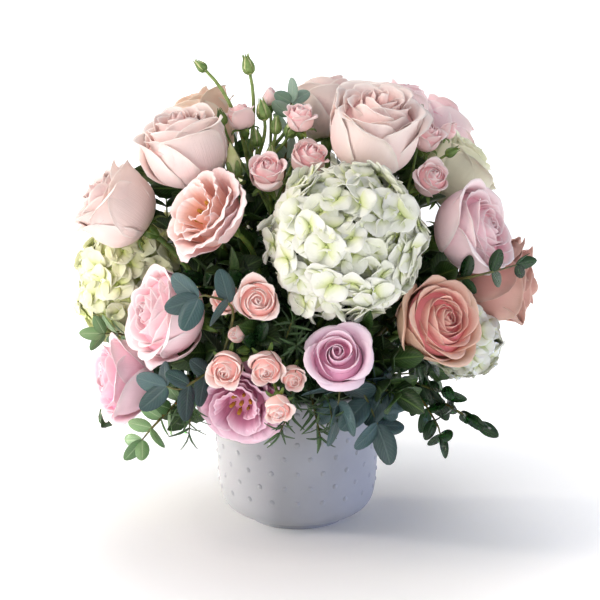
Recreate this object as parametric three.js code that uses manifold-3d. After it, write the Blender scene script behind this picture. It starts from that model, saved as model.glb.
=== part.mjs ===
// A round table centrepiece: roses, hydrangeas, lisianthus, spray roses and foliage, cut and stood
// in holes in a block of wet floral foam that fills a white dimpled ceramic vase.
// Millimetres, +Z up, the front faces -Y. The origin is the middle of the vase's foot, on the table.
import * as THREE from "three";
import { ConvexHull } from "three/addons/math/ConvexHull.js";
import { mergeVertices } from "three/addons/utils/BufferGeometryUtils.js";
import Module from "manifold-3d";

const wasm = await Module();
wasm.setup();
const { Vector2, Vector3 } = THREE;

// ---- Driving dimensions ------------------------------------------------------------------------

const VASE_HEIGHT = 108;
const VASE_RIM_RADIUS = 66.5;
const VASE_WAIST_RADIUS = 61; // where the wall turns in towards the foot
const VASE_WAIST_HEIGHT = 24;
const VASE_WALL = 4;
const VASE_SIDES = 24;
const FOOT_RADIUS = 38;
const FOOT_HEIGHT = 4;

const DOT_RADIUS = 2.4; // the dimples stand out as low round dots
const DOTS_PER_ROW = 12; // every row is turned half a step from the one below
const DOT_ROWS = 7;
const DOT_ROW_STEP = 12;
const DOT_HEIGHT = 1.4; // above the wall

const GAP = 0.3; // between pieces that touch on the real thing
const FOAM_BULGE = 30; // how far the foam stands above the rim
const FOAM_SHOULDER = 57; // its radius there
const FOAM_CHAMFER = 8;
const STEM_DEPTH = 24; // of each stem in the foam
const STEM_SIDES = 4;
const STEM_STEPS = 4; // the first one is the straight stretch in the foam
const LOW_AIM = 117; // height on the axis that the lowest stems point at
const AIM_DROP = 48; // a stem that rises steeply points this much lower

// ---- Materials -----------------------------------------------------------------------------------

const finish = (color, roughness) => new THREE.MeshStandardMaterial({ color, roughness, metalness: 0 });
const CERAMIC = finish(0xe4e4e6, 0.45);
const FOAM = finish(0x2f4a2c, 0.95);
const STEM = finish(0x4f6b2c, 0.6);
const BLUSH = finish(0xf0cfcb, 0.6);
const PINK = finish(0xe9a9b8, 0.6);
const CORAL = finish(0xe2958f, 0.6);
const PEACH = finish(0xeab497, 0.6);
const LILAC = finish(0xd3a3b4, 0.6);
const GREEN_WHITE = finish(0xdfe0c4, 0.6);
const HYDRANGEA = finish(0xeef2da, 0.6);
const MAUVE = finish(0xc987a6, 0.6);
const SPRAY_PINK = finish(0xec9f95, 0.6);
const EUCALYPTUS = finish(0x54706b, 0.7);
const RUSCUS = finish(0x1f4a22, 0.5);

// ---- Where each flower goes ----------------------------------------------------------------------
// at: the middle of the bloom. faces: [azimuth from +X towards +Y, elevation] in degrees.
// leaf: the turn about the stem of the leaf on it, in degrees.

const ROSES = [
  { at: [-79, -38, 287], faces: [-140, 58], radius: 30, leaf: 20, finish: BLUSH },
  { at: [-72, 40, 292], faces: [150, 60], radius: 28, leaf: 0, finish: PEACH },
  { at: [-128, -35, 244], faces: [-168, 36], radius: 28, leaf: 90, finish: BLUSH },
  { at: [-91, -84, 181], faces: [-140, 10], radius: 33, leaf: 60, finish: PINK },
  { at: [-127, -50, 123], faces: [-150, 4], radius: 29, leaf: 30, finish: PINK },
  { at: [54, -46, 300], faces: [-72, 62], radius: 33, leaf: 60, finish: BLUSH },
  { at: [22, 28, 312], faces: [100, 76], radius: 26, leaf: 100, finish: BLUSH },
  { at: [28, -120, 155], faces: [-84, 12], radius: 21, leaf: 200, finish: LILAC },
  { at: [96, -92, 174], faces: [-66, 10], radius: 29, leaf: 120, finish: CORAL },
  { at: [126, -44, 231], faces: [-32, 22], radius: 32, leaf: 330, finish: PINK },
  { at: [154, 6, 188], faces: [-4, 4], radius: 34, leaf: 90, finish: BLUSH },
  { at: [124, 26, 266], faces: [6, 46], radius: 28, leaf: 30, finish: GREEN_WHITE },
  { at: [92, 83, 276], faces: [45, 49], radius: 27, leaf: 100, finish: PINK },
  { at: [74, 18, 312], faces: [30, 74], radius: 23, leaf: 60, finish: PINK },
  { at: [-82, 108, 176], faces: [126, 14], radius: 31, leaf: 30, finish: BLUSH },
  { at: [86, 108, 186], faces: [52, 16], radius: 31, leaf: 30, finish: CORAL },
];

const HYDRANGEAS = [
  { at: [34, -88, 230], faces: [-72, 30], radius: 53, florets: 36 },
  { at: [-120, 26, 184], faces: [170, 10], radius: 51, florets: 26 },
  { at: [129, -28, 130], faces: [-18, -2], radius: 33, florets: 16 },
  { at: [-2, 90, 222], faces: [92, 40], radius: 52, florets: 22 },
];

const LISIANTHUS = [
  { at: [-59, -84, 247], faces: [-122, 28], radius: 29, finish: PEACH },
  { at: [-38, -92, 118], faces: [-104, -14], radius: 30, finish: MAUVE },
];

// Spray roses: where the stem forks, then each bloom or bud on it.
const SPRAYS = [
  {
    fork: [-18, -36, 236],
    blooms: [
      { at: [-21, -62, 275], faces: [-95, 50], radius: 14 },
      { at: [8, -44, 283], faces: [-60, 55], radius: 14 },
      { at: [-41, -20, 312], faces: [-170, 78], radius: 11 },
      { at: [2, -36, 312], faces: [-100, 70], radius: 11 },
    ],
  },
  {
    fork: [76, -26, 246],
    blooms: [
      { at: [96, -46, 269], faces: [-70, 35], radius: 13 },
      { at: [95, -20, 297], faces: [-60, 56], radius: 12 },
      { at: [112, -12, 302], faces: [-30, 40], radius: 7 },
    ],
  },
  {
    fork: [-33, -84, 172],
    blooms: [
      { at: [-27, -112, 193], faces: [-88, 14], radius: 15 },
      { at: [-48, -96, 191], faces: [-120, 30], radius: 11 },
      { at: [-42, -110, 169], faces: [-110, 10], radius: 7 },
    ],
  },
  {
    fork: [-22, -88, 146],
    blooms: [
      { at: [-48, -118, 148], faces: [-100, -12], radius: 13 },
      { at: [-21, -122, 150], faces: [-90, -20], radius: 12 },
      { at: [-3, -121, 142], faces: [-80, -18], radius: 9 },
      { at: [-13, -134, 124], faces: [-88, -34], radius: 10 },
    ],
  },
  {
    fork: [4, 88, 144],
    blooms: [
      { at: [8, 132, 156], faces: [86, 10], radius: 15 },
      { at: [-22, 126, 146], faces: [110, -4], radius: 13 },
      { at: [32, 124, 138], faces: [70, -8], radius: 12 },
    ],
  },
];

// ---- Solids --------------------------------------------------------------------------------------

const RANDOM_SEED = 41;
let randomState = RANDOM_SEED;
const random = () => {
  randomState = (randomState * 1664525 + 1013904223) % 4294967296;
  return randomState / 4294967296;
};
const radians = (degrees) => (degrees * Math.PI) / 180;
const vector = (list) => new Vector3(...list);

// A direction by its angle from +Z and its azimuth from +X towards +Y, in degrees.
function onSphere(tilt, azimuth) {
  const out = Math.sin(radians(tilt));
  return new Vector3(
    out * Math.cos(radians(azimuth)),
    out * Math.sin(radians(azimuth)),
    Math.cos(radians(tilt)),
  );
}

const directionOf = ([azimuth, elevation]) => onSphere(90 - elevation, azimuth);

// A closed geometry as a solid: only positions are kept, and shared vertices are merged.
function solidOf(geometry) {
  const bare = new THREE.BufferGeometry().setAttribute("position", geometry.getAttribute("position"));
  bare.setIndex(geometry.index);
  const merged = mergeVertices(bare, 1e-4);
  const corners = merged.index.array;
  const kept = [];
  for (let i = 0; i < corners.length; i += 3) {
    const [a, b, c] = corners.slice(i, i + 3);
    if (a !== b && b !== c && c !== a) kept.push(a, b, c);
  }
  return new wasm.Manifold(
    new wasm.Mesh({
      numProp: 3,
      vertProperties: merged.attributes.position.array,
      triVerts: new Uint32Array(kept),
    }),
  );
}

const fuse = (solids) => solids.reduce((whole, one) => whole.add(one));

function meshOf(name, solid, material) {
  const { vertProperties, triVerts } = solid.getMesh();
  const geometry = new THREE.BufferGeometry()
    .setAttribute("position", new THREE.BufferAttribute(vertProperties, 3))
    .setIndex(new THREE.BufferAttribute(triVerts, 1));
  geometry.computeVertexNormals();
  const mesh = new THREE.Mesh(geometry, material);
  mesh.name = name;
  return mesh;
}

// The matrix that stands a piece on a point, with its own +Z turned to a direction.
function stand(point, direction, roll = 0) {
  const turn = new THREE.Quaternion().setFromUnitVectors(new Vector3(0, 0, 1), direction);
  turn.multiply(new THREE.Quaternion().setFromAxisAngle(new Vector3(0, 0, 1), roll));
  return new THREE.Matrix4().compose(point, turn, new Vector3(1, 1, 1));
}

// A thin curved blade with the same triangles on both faces. surface(u, v) gives its middle, with u
// from -1 to 1 across and v from 0 at the root, which is one point, to 1 at the rim.
function blade(across, along, thickness, surface) {
  const STEP = 0.02;
  const [front, back] = [[], []];
  for (let j = 1; j <= along; j++)
    for (let i = 0; i <= across; i++) {
      const u = (2 * i) / across - 1;
      const v = j / along;
      const middle = surface(u, v);
      const sideways = surface(u + STEP, v).sub(surface(u - STEP, v));
      const upwards = surface(u, v).sub(surface(u, v - STEP));
      const offset = sideways.cross(upwards).setLength(thickness / 2);
      front.push(middle.clone().add(offset));
      back.push(middle.clone().sub(offset));
    }
  const count = front.length;
  const root = 2 * count;
  const triangles = [];
  const under = (corner) => (corner === root ? root : corner + count);
  const bothFaces = (a, b, c) => triangles.push(a, b, c, under(a), under(c), under(b));
  const wall = (a, b) => {
    if (a !== root) triangles.push(a, under(a), b);
    if (b !== root) triangles.push(b, under(a), under(b));
  };
  const at = (i, j) => (j ? (j - 1) * (across + 1) + i : root);
  for (let i = 0; i < across; i++) bothFaces(root, at(i + 1, 1), at(i, 1));
  for (let j = 1; j < along; j++)
    for (let i = 0; i < across; i++) {
      bothFaces(at(i, j), at(i + 1, j), at(i + 1, j + 1));
      bothFaces(at(i, j), at(i + 1, j + 1), at(i, j + 1));
    }
  for (let i = 0; i < across; i++) wall(at(i + 1, along), at(i, along));
  for (let j = 0; j < along; j++) {
    wall(at(across, j), at(across, j + 1));
    wall(at(0, j + 1), at(0, j));
  }
  return new THREE.BufferGeometry().setFromPoints([...front, ...back, surface(0, 0)])
    .setIndex(triangles);
}

// A round stem of constant thickness along a curve.
function tube(curve, radius, sides, steps) {
  const section = new THREE.Shape();
  for (let i = 0; i < sides; i++) {
    const angle = (2 * Math.PI * i) / sides;
    section[i ? "lineTo" : "moveTo"](radius * Math.cos(angle), radius * Math.sin(angle));
  }
  return new THREE.ExtrudeGeometry(section, { steps, extrudePath: curve, bevelEnabled: false });
}

// A solid turned about +Z from its half section, [out, up] points that start and end on the axis.
function turned(profile, scale, sides) {
  const points = profile.map(([out, up]) => new Vector2(out, up).multiplyScalar(scale));
  return solidOf(new THREE.LatheGeometry(points, sides).rotateX(Math.PI / 2));
}

// ---- Stems and the foam that holds them -----------------------------------------------------------

const FOAM_TOP = VASE_HEIGHT + FOAM_BULGE;
const stemHoles = [];

// The way a stem lies in the foam, for a flower whose foot or first fork is at a point.
function aimOf(point) {
  const reach = Math.hypot(point.x, point.y);
  const rise = Math.atan2(point.z - LOW_AIM, reach);
  const aim = new Vector3(0, 0, LOW_AIM - AIM_DROP * Math.max(0, Math.sin(rise)));
  return point.clone().sub(aim).normalize();
}

// Where a line back from a point, along the way the stem lies, meets the foam's surface.
function entryOf(point, way) {
  const across = Math.hypot(way.x, way.y);
  const reach = Math.hypot(point.x, point.y);
  const toSide = across > 1e-6 ? (reach - FOAM_SHOULDER) / across : 0;
  const toTop = way.z > 1e-6 ? (point.z - FOAM_TOP) / way.z : 0;
  return point.clone().addScaledVector(way, -Math.max(toSide, toTop));
}

// A stem is straight in the foam, and bends from there to the point that it carries, where it
// arrives along a direction.
class StemLine extends THREE.Curve {
  constructor(cut, entry, end, arrival) {
    super();
    const way = entry.clone().sub(cut).normalize();
    const length = entry.distanceTo(end);
    this.straight = new THREE.LineCurve3(cut, entry);
    this.bend = new THREE.CubicBezierCurve3(
      entry,
      entry.clone().addScaledVector(way, 0.45 * length),
      end.clone().addScaledVector(arrival, -0.3 * length),
      end,
    );
  }

  getPoint(t, target) {
    const share = 1 / STEM_STEPS;
    if (t <= share) return this.straight.getPoint(t / share, target);
    return this.bend.getPoint((t - share) / (1 - share), target);
  }

  getUtoTmapping(u) {
    return u;
  }
}

// Each stem's line starts at its cut end, and leaves a hole for the foam.
function stemLine(end, arrival, radius) {
  const OUT_OF_FOAM = 3;
  const way = aimOf(end);
  const entry = entryOf(end, way);
  const cut = entry.clone().addScaledVector(way, -STEM_DEPTH);
  const hole = new THREE.LineCurve3(
    cut.clone().addScaledVector(way, -GAP),
    entry.clone().addScaledVector(way, OUT_OF_FOAM),
  );
  stemHoles.push({ line: hole, radius: radius + GAP });
  return new StemLine(cut, entry.clone().addScaledVector(way, OUT_OF_FOAM), end, arrival);
}

// The block of foam is trimmed to the vase's hollow and stands above its rim.
function foam() {
  const SLACK = 1;
  const profile = [
    ...VASE_HOLLOW.map(([out, up]) => [Math.max(0, out - SLACK), up + GAP]),
    [FOAM_SHOULDER, VASE_HEIGHT + 4],
    [FOAM_SHOULDER, FOAM_TOP - FOAM_CHAMFER],
    [FOAM_SHOULDER - FOAM_CHAMFER, FOAM_TOP],
    [0, FOAM_TOP],
  ];
  const roomy = (radius) => radius / Math.cos(Math.PI / STEM_SIDES);
  return stemHoles.reduce(
    (rest, hole) => rest.subtract(solidOf(tube(hole.line, roomy(hole.radius), STEM_SIDES, 1))),
    turned(profile, 1, VASE_SIDES / 2),
  );
}

// ---- Vase ----------------------------------------------------------------------------------------

function wallRadius(z) {
  const share = (z - VASE_WAIST_HEIGHT) / (VASE_HEIGHT - VASE_WAIST_HEIGHT);
  return VASE_WAIST_RADIUS + (VASE_RIM_RADIUS - VASE_WAIST_RADIUS) * share;
}

// The hollow, from the middle of its floor up to the rim, as [radius, height].
const VASE_HOLLOW = [
  [0, FOOT_HEIGHT + 6],
  [50, FOOT_HEIGHT + 8],
  [wallRadius(30) - VASE_WALL, 30],
  [VASE_RIM_RADIUS - VASE_WALL, VASE_HEIGHT],
];

// A dimple is a low pyramid with its base sunk just below the flat of the wall that it stands on.
function dot(angle, z) {
  const SUNK = 0.3;
  const out = wallRadius(z) * Math.cos(Math.PI / VASE_SIDES) - SUNK;
  const solid = new THREE.OctahedronGeometry(1).scale(DOT_HEIGHT + SUNK, DOT_RADIUS, DOT_RADIUS);
  return solidOf(solid.rotateZ(angle).translate(out * Math.cos(angle), out * Math.sin(angle), z));
}

function vase() {
  const profile = [
    [0, 0],
    [FOOT_RADIUS, 0],
    [FOOT_RADIUS + 1, FOOT_HEIGHT],
    [50, 8],
    [57.5, 14],
    [VASE_WAIST_RADIUS, VASE_WAIST_HEIGHT],
    [VASE_RIM_RADIUS, VASE_HEIGHT],
    ...VASE_HOLLOW.toReversed(),
  ];
  const FIRST_ROW = VASE_WAIST_HEIGHT + 1.5 * DOT_RADIUS;
  const dots = [];
  for (let row = 0; row < DOT_ROWS; row++)
    for (let i = 0; i < DOTS_PER_ROW; i++) {
      const turn = (2 * Math.PI * (i + (row % 2 ? 0.25 : 0.75))) / DOTS_PER_ROW;
      dots.push(dot(turn, FIRST_ROW + row * DOT_ROW_STEP));
    }
  return fuse([turned(profile, 1, VASE_SIDES), ...dots]);
}

// ---- Roses ---------------------------------------------------------------------------------------

// Half sections through a petal from root to rim, as a cubic curve of [out, up] points, in a bloom
// of radius 1.
const GUARD_PETAL = [[0.2, 0.08], [1.0, -0.04], [0.86, 0.8], [1.14, 1.06]];
const ROSE_BASE_TO_MIDDLE = 0.72; // of the bloom's radius
const PETAL_THICKNESS = 1.3;
const PETAL_LAP = 0.07; // one edge of a petal lies outside its neighbour, by this share

// A petal that wraps part of the way round the bloom's axis from a narrow root, with rounded corners
// at its rim and, if it has any, waves along it.
function petal({ section, radius, turn, span, grid, wave = 0, waves = 0, thickness = PETAL_THICKNESS }) {
  const curve = new THREE.CubicBezierCurve(...section.map((point) => new Vector2(...point)));
  return blade(...grid, thickness, (u, v) => {
    const height = v * (1 - 0.16 * Math.abs(u) ** 2.5);
    const point = curve.getPoint(Math.min(1, Math.max(0, height)));
    const angle = turn + u * span * (0.3 + 0.7 * Math.min(1, 1.6 * v));
    const ruffle = wave * v * v * Math.sin(waves * Math.PI * u + turn);
    const out = radius * (point.x * (1 + PETAL_LAP * u) + ruffle);
    return new Vector3(out * Math.cos(angle), out * Math.sin(angle), radius * (point.y + 0.4 * ruffle));
  });
}

// The furled heart of a flower: rims and grooves turned round the axis, drawn in and out three times
// a turn, which gives the edges of its wrapped petals.
function heart(profile, radius, sides) {
  const WRAPS = 3;
  const LAP = 0.16;
  return turned(profile, radius, sides).warp((point) => {
    const phase = (WRAPS * Math.atan2(point[1], point[0])) / (2 * Math.PI) + point[2] / radius;
    const lap = 1 + LAP * (phase - Math.floor(phase) - 0.5);
    point[0] *= lap;
    point[1] *= lap;
  });
}

function ring(count, options, start = 0) {
  return Array.from({ length: count }, (_, i) =>
    solidOf(petal({ ...options, turn: start + (2 * Math.PI * i) / count })),
  );
}

const ROSE_HEART = [
  [0, 0],
  [0.4, 0.06],
  [0.72, 0.62],
  [0.64, 1.36],
  [0.44, 1.08],
  [0.26, 1.42],
  [0, 1.12],
];

function roseBloom(radius) {
  const guards = ring(5, { section: GUARD_PETAL, radius, span: 0.74, grid: [2, 2] });
  return fuse([heart(ROSE_HEART, radius, 8), ...guards]);
}

// The green cup under a bloom, with five pointed sepals that bend down from it.
function calyx(cupRadius, sepalLength) {
  const POINTS = 10;
  const outline = Array.from({ length: POINTS }, (_, i) => {
    const angle = (2 * Math.PI * i) / POINTS;
    const out = i % 2 ? cupRadius : sepalLength;
    return new Vector3(out * Math.cos(angle), out * Math.sin(angle), i % 2 ? -1 : -0.55 * sepalLength);
  });
  const points = [...outline, new Vector3(0, 0, -GAP), new Vector3(0, 0, -2.2 * cupRadius)];
  const triangles = [];
  for (let i = 0; i < POINTS; i++) {
    const next = (i + 1) % POINTS;
    triangles.push(i, next, POINTS, next, i, POINTS + 1);
  }
  return new THREE.BufferGeometry().setFromPoints(points).setIndex(triangles);
}

// A thin arched leaf with a pointed tip. It lies along +X from its root, and outline gives the half
// widths between root and tip, as shares of length and width.
function leafGeometry(length, width, outline) {
  const HALF_THICKNESS = 0.4;
  const DROOP = 0.2;
  const left = outline.map(([along, out]) => [along * length, out * width]);
  const rim = [...left, [length, 0], ...left.map(([along, out]) => [along, -out]).reverse()];
  const layer = (dz) => rim.map(([x, y]) => new Vector3(x, y, dz - (DROOP * x * x) / length));
  const count = rim.length;
  const root = 2 * count;
  const triangles = [root, 0, count, root, 2 * count - 1, count - 1];
  const bothFaces = (a, b, c) => triangles.push(a, b, c, under(a), under(c), under(b));
  const under = (corner) => (corner === root ? root : corner + count);
  bothFaces(root, count - 1, 0);
  for (let i = 0; i < left.length; i++) {
    const across = count - 1 - i;
    bothFaces(i, across, across - 1);
    if (i + 1 < left.length) bothFaces(i, across - 1, i + 1);
  }
  for (let i = 0; i + 1 < count; i++) triangles.push(i, i + 1, count + i + 1, i, count + i + 1, count + i);
  return new THREE.BufferGeometry()
    .setFromPoints([...layer(HALF_THICKNESS), ...layer(-HALF_THICKNESS), new Vector3()])
    .setIndex(triangles);
}

const ROUND_LEAF = [[0.12, 0.06], [0.42, 0.5], [0.8, 0.42]];
const POINTED_LEAF = [[0.12, 0.08], [0.5, 0.5]];

// Sets a leaf on a line at share t, turned about it, leaning away from it by lean (0 lies along it).
function leafOn(line, t, turn, lean, [length, width], outline) {
  const SUNK = 1;
  const TWIST = 0.45;
  const along = line.getTangentAt(t);
  const away = new Vector3(0, 0, 1).cross(along);
  if (away.length() < 0.05) away.set(1, 0, 0);
  away.normalize().applyAxisAngle(along, turn);
  const x = along.clone().multiplyScalar(Math.cos(lean)).addScaledVector(away, Math.sin(lean));
  const z = along.clone().cross(away).normalize().applyAxisAngle(x, TWIST);
  const place = new THREE.Matrix4().makeBasis(x, z.clone().cross(x), z);
  place.setPosition(line.getPointAt(t).addScaledVector(along, -SUNK));
  return solidOf(leafGeometry(length, width, outline).applyMatrix4(place));
}

function roseStem({ at, faces, radius, leaf }) {
  const facing = directionOf(faces);
  const top = vector(at).addScaledVector(facing, -ROSE_BASE_TO_MIDDLE * radius);
  const STEM_RADIUS = 2.3;
  const SUNK = 6; // of the stem in the cup
  const LEAF_AT = 0.62;
  const LEAF_SIZE = [40, 25];
  const line = stemLine(top.clone().addScaledVector(facing, -SUNK), facing, STEM_RADIUS);
  const cup = calyx(0.2 * radius, 0.52 * radius).applyMatrix4(stand(top, facing));
  return fuse([
    solidOf(tube(line, STEM_RADIUS, STEM_SIDES, STEM_STEPS)),
    solidOf(cup),
    leafOn(line, LEAF_AT, radians(leaf), 1, LEAF_SIZE, ROUND_LEAF),
  ]);
}

// ---- Hydrangeas ----------------------------------------------------------------------------------

const NECK = -0.5; // florets stop at this share of the radius below the middle
const HEAD_REACH = { eye: 0.92, sepal: 1, notch: 0.9, cleft: 0.74, neck: 0.74 };

// The triangles of the hull round some points, each as three of those points.
function hullOf(points) {
  const { faces } = new ConvexHull().setFromPoints(points);
  return faces.map(({ edge }) => [edge.head().point, edge.next.head().point, edge.prev.head().point]);
}

// A round head of florets with four sepals each. Its points are placed on a sphere, and each is then
// drawn in or out: sepal tips stand proud, the eye of a floret lies lower, and the clefts between
// florets are deep. The neck, below the last florets, is bare.
function hydrangeaHead(radius, florets) {
  const GOLDEN_ANGLE = Math.PI * (3 - Math.sqrt(5));
  const spread = Math.sqrt((2 * (1 - NECK)) / florets); // the angle that one floret fills
  const reach = new Map();
  const neck = [180, 152, 126].map((tilt, row) => {
    const count = 5 * row || 1;
    return Array.from({ length: count }, (_, i) => onSphere(tilt, (360 * (i + 0.5 * row)) / count));
  });
  neck.flat().forEach((way) => reach.set(way, HEAD_REACH.neck));
  const eyes = Array.from({ length: florets }, (_, i) => {
    const z = 1 - ((i + 0.5) / florets) * (1 - NECK);
    return onSphere(THREE.MathUtils.radToDeg(Math.acos(z)), THREE.MathUtils.radToDeg(i * GOLDEN_ANGLE));
  });
  for (const corners of hullOf([...eyes, ...neck[2]])) {
    const middle = corners[0].clone().add(corners[1]).add(corners[2]).normalize();
    if (middle.z > NECK - 0.12) reach.set(middle, HEAD_REACH.cleft);
  }
  for (const eye of eyes) {
    const place = stand(new Vector3(), eye, random() * Math.PI);
    const proud = 0.96 + 0.08 * random();
    reach.set(eye, proud * HEAD_REACH.eye);
    for (let i = 0; i < 8; i++) {
      const [tilt, share] = i % 2 ? [0.5 * spread, HEAD_REACH.notch] : [0.8 * spread, HEAD_REACH.sepal];
      const way = onSphere(THREE.MathUtils.radToDeg(tilt), 45 * i).applyMatrix4(place);
      reach.set(way, proud * share);
    }
  }
  const corners = hullOf([...reach.keys()]).flat();
  const points = corners.map((way) => way.clone().multiplyScalar(radius * reach.get(way)));
  return solidOf(new THREE.BufferGeometry().setFromPoints(points));
}

function hydrangeaStem({ at, faces, radius }) {
  const facing = directionOf(faces);
  const STEM_RADIUS = 2.9;
  const end = vector(at).addScaledVector(facing, -(HEAD_REACH.neck * radius + GAP));
  const line = stemLine(end, facing, STEM_RADIUS);
  return solidOf(tube(line, STEM_RADIUS, STEM_SIDES, STEM_STEPS));
}

// ---- Lisianthus ----------------------------------------------------------------------------------

const LISIANTHUS_INNER = [[0.1, 0.12], [0.5, 0.1], [0.5, 0.5], [0.56, 1.0]];
const LISIANTHUS_OUTER = [[0.1, 0.04], [0.7, -0.02], [0.75, 0.45], [1.05, 0.62]];
const LISIANTHUS_HEART = [[0, 0], [0.24, 0.02], [0.26, 0.4], [0.12, 0.7], [0, 0.5]];

function lisianthusBloom(radius) {
  const ruffled = { radius, grid: [3, 2], wave: 0.07, waves: 2, thickness: 1.1 };
  const inner = ring(3, { ...ruffled, section: LISIANTHUS_INNER, span: 0.95 });
  const outer = ring(5, { ...ruffled, section: LISIANTHUS_OUTER, span: 0.6 }, 0.5);
  return fuse([heart(LISIANTHUS_HEART, radius, 6), ...inner, ...outer]);
}

function lisianthusStem({ at, faces, radius }) {
  const facing = directionOf(faces);
  const STEM_RADIUS = 2;
  const top = vector(at).addScaledVector(facing, -0.5 * radius);
  const line = stemLine(top.clone().addScaledVector(facing, -5), facing, STEM_RADIUS);
  const cup = calyx(4.5, 13).applyMatrix4(stand(top, facing));
  return fuse([solidOf(tube(line, STEM_RADIUS, STEM_SIDES, STEM_STEPS)), solidOf(cup)]);
}

// A closed bud in its green sepals: an egg with a drawn-out tip, standing on its stalk.
const BUD_PROFILE = [[0, 0], [0.75, 0.5], [1, 1.5], [0.55, 2.9], [0, 4.4]];

// Lisianthus buds on thin stalks from one stem: where each bud stands, the way it points, its size.
const BUD_STEM = {
  fork: [-34, -4, 262],
  buds: [
    { at: [-67, -12, 340], faces: [172, 42], radius: 3.6 },
    { at: [-35, -2, 336], faces: [168, 76], radius: 4.4 },
    { at: [-30, 4, 300], faces: [160, 80], radius: 5 },
    { at: [-14, 2, 290], faces: [20, 70], radius: 4.4 },
    { at: [-4, -2, 298], faces: [10, 66], radius: 4 },
    { at: [-52, -14, 304], faces: [160, 74], radius: 3.6 },
  ],
};

function budStem() {
  const STEM_RADIUS = 1.8;
  const STALK_RADIUS = 1;
  const fork = vector(BUD_STEM.fork);
  const main = stemLine(fork, aimOf(fork), STEM_RADIUS);
  const pieces = [solidOf(tube(main, STEM_RADIUS, STEM_SIDES, STEM_STEPS))];
  for (const { at, faces, radius } of BUD_STEM.buds) {
    const foot = vector(at);
    const facing = directionOf(faces);
    pieces.push(solidOf(stalk(fork, main.getTangent(1), foot, facing, STALK_RADIUS)));
    pieces.push(turned(BUD_PROFILE, radius, 5).transform(stand(foot, facing).elements));
  }
  return fuse(pieces);
}

// ---- Spray roses ---------------------------------------------------------------------------------

// A side stalk from a fork to a bloom or bud, leaving along one direction and arriving along another.
function stalk(fork, leaving, end, arrival, radius) {
  const length = fork.distanceTo(end);
  const line = new THREE.CubicBezierCurve3(
    fork.clone().addScaledVector(leaving, -2),
    fork.clone().addScaledVector(leaving, 0.3 * length),
    end.clone().addScaledVector(arrival, -0.35 * length),
    end.clone().addScaledVector(arrival, 1.5),
  );
  return tube(line, radius, STEM_SIDES, 2);
}

// A small rose, half open, that swells from its green cup.
const SPRAY_BLOOM = [[0, -0.2], [0.62, 0.12], [1.0, 1.2], [0.66, 1.0], [0.38, 1.42], [0, 1.2]];
const SPRAY_BASE_TO_MIDDLE = 0.7;

function sprayRose({ fork, blooms }) {
  const STEM_RADIUS = 1.9;
  const STALK_RADIUS = 1.2;
  const start = vector(fork);
  const main = stemLine(start, aimOf(start), STEM_RADIUS);
  const pieces = [solidOf(tube(main, STEM_RADIUS, STEM_SIDES, STEM_STEPS))];
  for (const { at, faces, radius } of blooms) {
    const facing = directionOf(faces);
    const foot = vector(at).addScaledVector(facing, -SPRAY_BASE_TO_MIDDLE * radius);
    pieces.push(solidOf(stalk(start, main.getTangent(1), foot, facing, STALK_RADIUS)));
    pieces.push(heart(SPRAY_BLOOM, radius, 6).transform(stand(foot, facing).elements));
  }
  return fuse(pieces);
}

// ---- Foliage -------------------------------------------------------------------------------------

// Branches: the points that each twig follows. The first twig starts in the foam, and the others
// start on a twig before them. Leaves stand in pairs along the twigs, with one at each tip.
const BRANCHES = {
  eucalyptus_left: {
    finish: EUCALYPTUS,
    outline: ROUND_LEAF,
    leaf: [25, 18],
    twigs: [
      { points: [[-62, -90, 146], [-64, -122, 174], [-76, -138, 206]], pairs: 2, turn: 20 },
      { points: [[-74, -98, 142], [-86, -110, 124], [-94, -116, 102]], pairs: 2, turn: 60 },
    ],
  },
  eucalyptus_low: {
    finish: EUCALYPTUS,
    outline: ROUND_LEAF,
    leaf: [32, 21],
    twigs: [
      { points: [[46, -84, 126], [56, -112, 110], [62, -122, 76]], pairs: 3, turn: 0 },
      { points: [[34, -92, 124], [30, -114, 114], [24, -120, 94]], pairs: 1, turn: 0 },
      { points: [[50, -94, 126], [61, -118, 132], [63, -128, 144]], pairs: 1, turn: 90 },
    ],
  },
  eucalyptus_top: {
    finish: EUCALYPTUS,
    outline: ROUND_LEAF,
    leaf: [19, 13],
    twigs: [{ points: [[-16, 24, 262], [-20, 28, 300], [-16, 26, 326]], pairs: 2, turn: 0 }],
  },
  eucalyptus_back: {
    finish: EUCALYPTUS,
    outline: ROUND_LEAF,
    leaf: [30, 20],
    twigs: [{ points: [[-28, 96, 124], [-40, 134, 118], [-48, 148, 90]], pairs: 3, turn: 0 }],
  },
  ruscus_right: {
    finish: RUSCUS,
    outline: POINTED_LEAF,
    leaf: [21, 10],
    twigs: [
      { points: [[84, -44, 118], [112, -70, 106], [140, -76, 90]], pairs: 4, turn: 30 },
      { points: [[88, -54, 114], [100, -82, 98], [106, -92, 82]], pairs: 2, turn: 0 },
    ],
  },
  ruscus_left: {
    finish: RUSCUS,
    outline: POINTED_LEAF,
    leaf: [19, 9],
    twigs: [{ points: [[-82, -60, 114], [-102, -88, 98], [-118, -96, 80]], pairs: 4, turn: 10 }],
  },
  ruscus_side: {
    finish: RUSCUS,
    outline: POINTED_LEAF,
    leaf: [18, 9],
    twigs: [{ points: [[104, -60, 196], [132, -78, 206], [166, -62, 212]], pairs: 3, turn: 0 }],
  },
  ruscus_back: {
    finish: RUSCUS,
    outline: POINTED_LEAF,
    leaf: [21, 10],
    twigs: [{ points: [[60, 92, 130], [90, 124, 126], [106, 138, 100]], pairs: 4, turn: 10 }],
  },
};

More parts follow.
